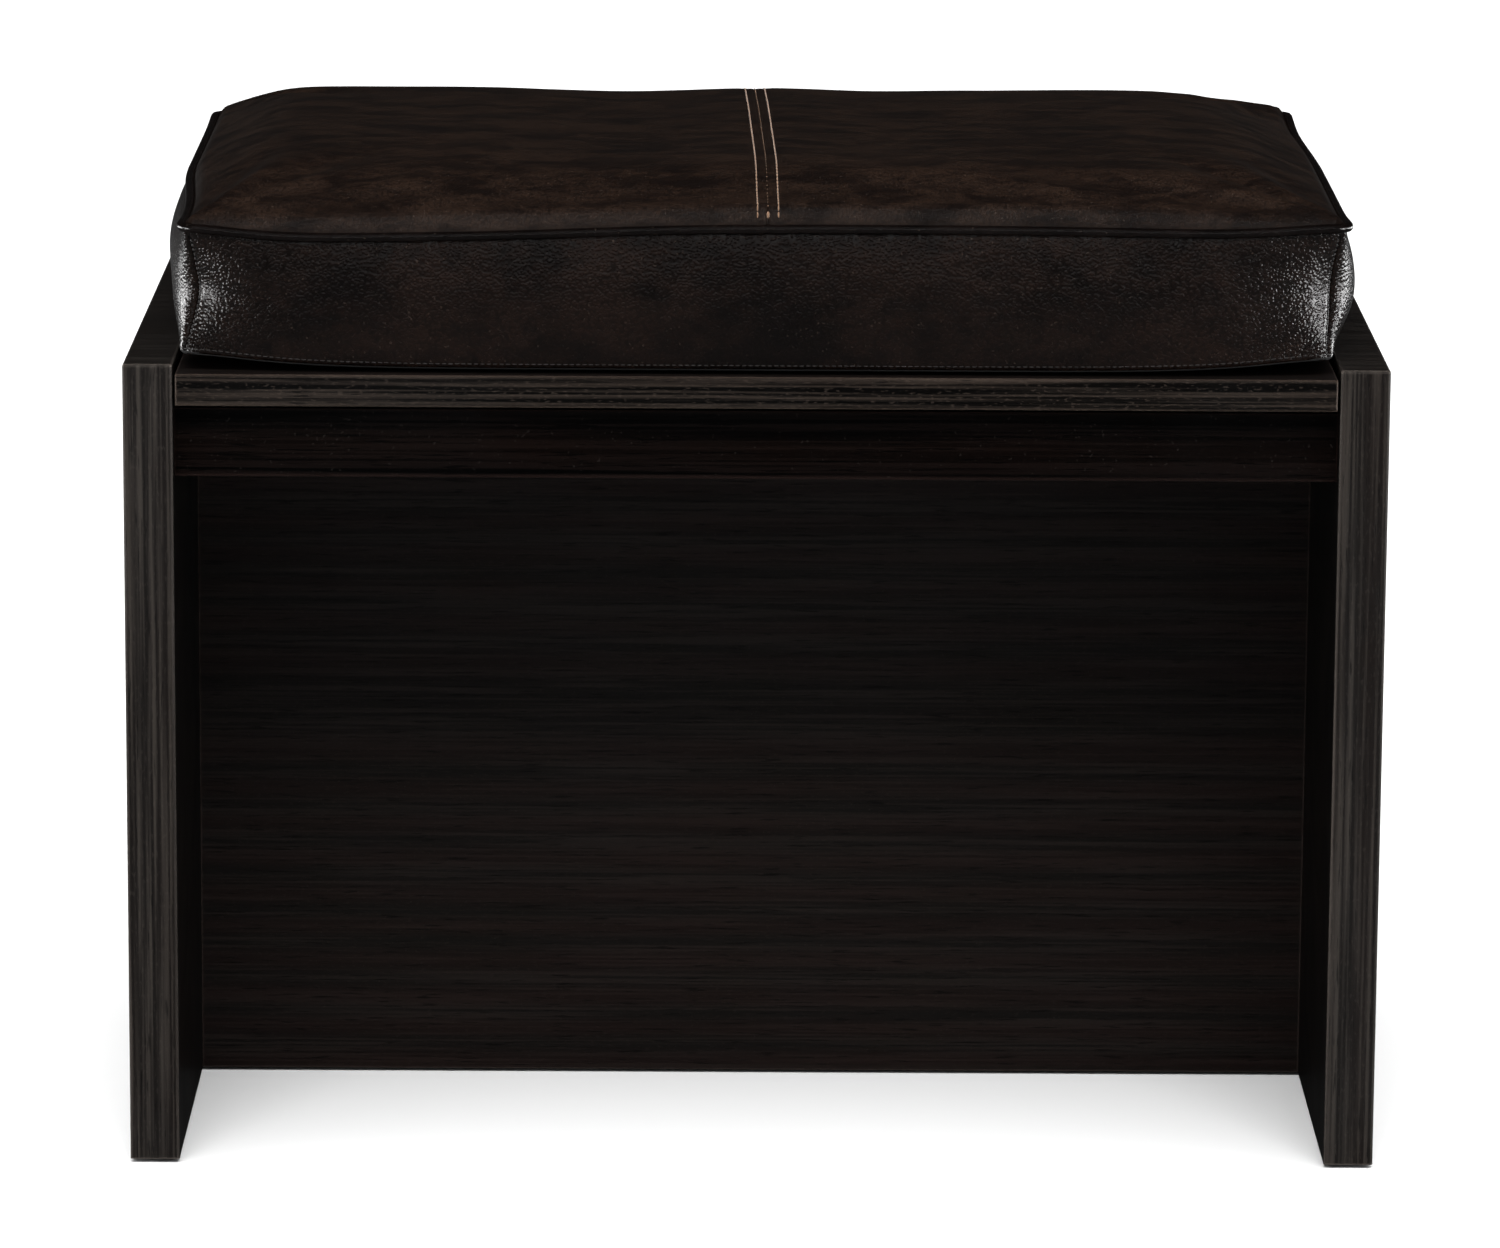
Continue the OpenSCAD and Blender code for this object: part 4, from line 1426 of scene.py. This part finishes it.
    def make_seam_stitches(self) -> None:
        """Make the dark stitches that show in the corner seams and round the base."""
        beads = Beads()
        for across, side, line in self.corner_seams():
            inward = Vector((self.corner_margin * (1 if side == Region.LEFT else -1), 0, 0))
            out = Vector((0, -1 if across == Region.FRONT else 1, 0))
            for at, along in spaced([vert.co for vert in line], self.corner_stitch.pitch)[1:-2]:
                place, way, _, _ = self.shell.surface.find_nearest(at + inward)
                beads.add(place + way * self.corner_stitch.lift, along, out, self.corner_stitch)
        line = [vert.co for vert in self.shell.seam({Region.BASE}, BANDS)]
        for at, along in spaced(line, self.base_stitch.pitch):
            place, way, _, _ = self.shell.surface.find_nearest(at + Vector((0, 0, self.base_margin)))
            beads.add(place + way * self.base_stitch.lift, along, way, self.base_stitch)
        piece_from("seam_stitches", beads.bm, DARK_THREAD, "lid")


@dataclass
class Zip:
    """The zip in the cushion's rear band."""

    shell: Shell
    tape_cells: tuple[int, int] = (80, 6)
    tape_t: float = 0.6 * MM
    tape_lift: float = 0.9 * MM
    edge_lift: float = 0.3 * MM
    edge_share: float = 0.9
    tooth: Bead = Bead(1.9 * MM, 0.95 * MM, pitch=2.6 * MM, lift=1.3 * MM)
    stagger: float = 1.1 * MM

    def build(self) -> None:
        """Make the tape and the teeth, and dress the slider."""
        low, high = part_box("cushion_zip")
        middle, half = (low + high) / 2, (high - low) / 2
        self.make_tape(middle, half)
        self.make_teeth(middle, half)
        ZINC_CASTING.dress(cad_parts["zip_slider"])

    def behind(self, x: float, z: float, lift: float) -> Vector:
        """Find a place on the rear band, lifted off it."""
        place, way, _, _ = self.shell.surface.ray_cast(Vector((x, 1.0, z)), Vector((0, -1, 0)))
        return place + way * lift

    def make_tape(self, middle: Vector, half: Vector) -> None:
        """Make the tape, which follows the rear band and turns in at its edges.

        Args:
            middle: The middle of the zip's box.
            half: Half the box's size.
        """
        bm = bmesh.new()
        across, up = self.tape_cells
        bmesh.ops.create_grid(bm, x_segments=across, y_segments=up, size=1.0)
        for vert in bm.verts:
            u, v, _ = vert.co
            lift = self.tape_lift if abs(v) < self.edge_share else self.edge_lift
            vert.co = self.behind(middle.x + u * half.x, middle.z + v * half.z, lift)
        bmesh.ops.recalc_face_normals(bm, faces=bm.faces[:])
        if sum(face.normal.y for face in bm.faces) < 0:
            bmesh.ops.reverse_faces(bm, faces=bm.faces[:])
        tape = piece_from("zip_tape", bm, ZIP_TAPE, "lid")
        wall = tape.modifiers.new("wall", "SOLIDIFY")
        wall.thickness = self.tape_t
        wall.offset = -1
        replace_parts(tape, "cushion_zip")

    def make_teeth(self, middle: Vector, half: Vector) -> None:
        """Make the two rows of meshed teeth.

        Args:
            middle: The middle of the zip's box.
            half: Half the box's size.
        """
        beads = Beads()
        length = 2 * half.x
        count = int(length / self.tooth.pitch)
        for number in range(count):
            x = middle.x - half.x + (number + 0.5) * length / count
            side = 1 if number % 2 else -1
            at = self.behind(x, middle.z + side * self.stagger, self.tooth.lift)
            beads.add(at, Vector((0, 0, 1)), Vector((0, 1, 0)), self.tooth)
        piece_from("zip_teeth", beads.bm, ZIP_TEETH, "lid")


# ---------- The bench ----------


def left_and_right(*names: str) -> tuple[str, ...]:
    """Name the left and the right node of each kind."""
    return tuple(f"{side}_{name}" for side in ("left", "right") for name in names)


@dataclass
class Boards:
    """Nodes that keep their own shape, with the finish that each group of them gets."""

    finishes: tuple[tuple[Finish, tuple[str, ...]], ...]

    def build(self) -> None:
        """Dress every node."""
        for finish, names in self.finishes:
            for name in names:
                finish.dress(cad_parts[name])
                LOG.info("%s: %s", name, finish.name)


@dataclass
class Carcass(Boards):
    """The boards, their edge bands and the joinery that holds them."""

    finishes: tuple[tuple[Finish, tuple[str, ...]], ...] = (
        (UPRIGHT, left_and_right("side_panel")),
        (SIDE_BAND, left_and_right("front_edge_band", "rear_edge_band")),
        (TOP_BAND, left_and_right("top_edge_band")),
        (RAIL_IN_SHADE, ("front_rail", "front_rail_edge_band")),
        (LEVEL, ("front_panel", "ledge_shelf", "bottom_panel", "back_panel")),
        (ZINC_STEEL, ("cam_bolts", "hinge_base_screws", *left_and_right("hinge_base_leaf"))),
        (ZINC_CASTING, ("cam_locks",)),
        (COVER_CAP, ("cam_covers",)),
        (BEECH, ("dowels",)),
        (GLIDE_PLASTIC, ("floor_glides",)),
        (BUSH_NYLON, left_and_right("hinge_bushes")),
    )


@dataclass
class Lid(Boards):
    """The seat board with its band, hinge leaves, bumpers and strips."""

    finishes: tuple[tuple[Finish, tuple[str, ...]], ...] = (
        (LEVEL, ("seat_board",)),
        (SEAT_BAND, ("seat_front_edge_band",)),
        (ZINC_STEEL, ("hinge_lid_screws", *left_and_right("hinge_lid_leaf", "hinge_pin"))),
        (BUMPER_RUBBER, ("lid_bumpers",)),
        (HOOK_LOOP, ("hook_strips", "loop_strips")),
    )


# ---------- Studio ----------


@dataclass
class Softbox:
    """One rectangular light, aimed at a point."""

    name: str
    at: Triple
    size: Pair
    power: float
    aim: Triple = (0.0, 0.0, 0.35)
    matt: bool = True
    gloss: bool = True

    def build(self) -> None:
        """Make the light, which may be there for matt surfaces only, or for gloss only."""
        light = bpy.data.lights.new(self.name, "AREA")
        light.shape = "RECTANGLE"
        light.size, light.size_y = self.size
        light.energy = self.power
        holder = bpy.data.objects.new(self.name, light)
        bpy.context.scene.collection.objects.link(holder)
        holder.location = self.at
        way = Vector(self.aim) - Vector(self.at)
        holder.rotation_euler = way.to_track_quat("-Z", "Y").to_euler()
        holder.visible_camera = False
        holder.visible_diffuse = self.matt
        holder.visible_glossy = self.gloss


@dataclass
class Studio:
    """The pale floor, the soft light and the camera."""

    eye: Triple = (-0.0192, -3.9549, 1.0773)
    yaw: float = math.radians(-0.2534)
    pitch: float = math.radians(11.9428)
    roll: float = math.radians(-0.3566)
    lens: float = 182.89
    sensor: float = 36.0
    far: float = 60.0
    floor_half: float = 9.0
    floor_seen: Pair = (0.80, 0.83)
    floor_lit: float = 0.75
    floor_mirrored: float = 0.03
    room_overhead: Pair = (0.05, 2.3)
    room_seen: float = 1.0
    room_mirrored: float = 0.006
    lights: tuple[Softbox, ...] = (
        Softbox("key", (0.0, -2.0, 2.6), (2.6, 0.9), 85, gloss=False),
        Softbox("rim", (0.0, -1.7, 2.4), (2.6, 0.25), 1.6, matt=False),
        Softbox("front_strip", (0.0, -2.6, 1.28), (2.4, 0.3), 2.6, matt=False),
        Softbox("gloss_left", (-2.3, -1.55, 0.26), (0.7, 0.5), 20, matt=False),
        Softbox("gloss_right", (2.2, -1.6, 0.26), (0.9, 0.5), 27, matt=False),
        Softbox("side_left", (-2.6, 0.1, 0.26), (1.2, 0.5), 24, matt=False),
        Softbox("side_right", (2.6, 0.1, 0.26), (1.2, 0.5), 24, matt=False),
        Softbox("rear_left", (-2.6, 1.4, 0.26), (1.4, 0.5), 20),
        Softbox("rear_right", (2.6, 1.4, 0.26), (1.4, 0.5), 20),
    )

    def build(self) -> None:
        """Make the studio."""
        self.make_floor()
        self.make_world()
        for light in self.lights:
            light.build()
        self.make_camera()
        bpy.context.scene.view_settings.view_transform = "Standard"

    def make_floor(self) -> None:
        """Make the floor, which looks darker in a reflection than to the eye."""
        bm = bmesh.new()
        bmesh.ops.create_grid(bm, x_segments=4, y_segments=4, size=self.floor_half)
        mesh = bpy.data.meshes.new("floor")
        bm.to_mesh(mesh)
        bm.free()
        floor = bpy.data.objects.new("floor", mesh)
        bpy.context.scene.collection.objects.link(floor)
        material = bpy.data.materials.new("pale_floor")
        material.use_nodes = True
        material.node_tree.nodes.clear()
        sheet = Sheet(material.node_tree)
        path = sheet.add("ShaderNodeLightPath")
        cloud = sheet.noise(sheet.add("ShaderNodeTexCoord").outputs["Object"], scale=1.5, detail=2.0)
        pale = sheet.tint(cloud, grey(self.floor_seen[0]), grey(self.floor_seen[1]))
        seen = sheet.tint(path.outputs["Is Camera Ray"], grey(self.floor_lit), pale)
        seen = sheet.tint(path.outputs["Is Glossy Ray"], seen, grey(self.floor_mirrored))
        shader = sheet.add("ShaderNodeBsdfDiffuse", {"Color": seen})
        sheet.add("ShaderNodeOutputMaterial", {"Surface": shader.outputs[0]})
        mesh.materials.append(material)
        floor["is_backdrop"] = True

    def make_world(self) -> None:
        """Make an even white room that is dim in reflections."""
        world = bpy.data.worlds.new("studio")
        bpy.context.scene.world = world
        world.use_nodes = True
        world.node_tree.nodes.clear()
        sheet = Sheet(world.node_tree)
        path = sheet.add("ShaderNodeLightPath")
        way = sheet.add("ShaderNodeTexCoord").outputs["Generated"]
        height = sheet.add("ShaderNodeSeparateXYZ", {0: way}).outputs["Z"]
        dim, bright = self.room_overhead
        overhead = sheet.span(height, low=0.10, high=0.95, to_low=dim, to_high=bright)
        lit = sheet.tint(path.outputs["Is Diffuse Ray"], grey(self.room_seen), overhead)
        level = sheet.tint(path.outputs["Is Glossy Ray"], lit, grey(self.room_mirrored))
        room = sheet.add("ShaderNodeBackground", {"Color": (1, 1, 1, 1), "Strength": level})
        sheet.add("ShaderNodeOutputWorld", {"Surface": room.outputs[0]})

    def make_camera(self) -> None:
        """Make the camera."""
        camera = bpy.data.cameras.new("camera")
        camera.sensor_width = self.sensor
        camera.lens = self.lens
        camera.clip_end = self.far
        holder = bpy.data.objects.new("camera", camera)
        bpy.context.scene.collection.objects.link(holder)
        turn = Matrix.Rotation(self.yaw, 4, "Z") @ Matrix.Rotation(math.pi / 2 - self.pitch, 4, "X")
        holder.matrix_world = Matrix.Translation(self.eye) @ turn @ Matrix.Rotation(-self.roll, 4, "Z")
        bpy.context.scene.camera = holder


def write_sizes() -> None:
    """Work out the frame's box and the finished model's box."""
    boxes = {"cad": CAD_BOX, "visual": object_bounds()}
    plain = {name: [list(corner) for corner in box] for name, box in boxes.items()}


def main() -> None:
    """Build the bench's looks from the carcass out."""
    logging.basicConfig(level=logging.INFO, format="%(relativeCreated)7d %(name)s: %(message)s")
    Studio().build()
    Carcass().build()
    Lid().build()
    cushion = Cushion()
    cushion.build()
    Zip(cushion.shell).build()
    write_sizes()


if __name__ == "__main__":
    main()
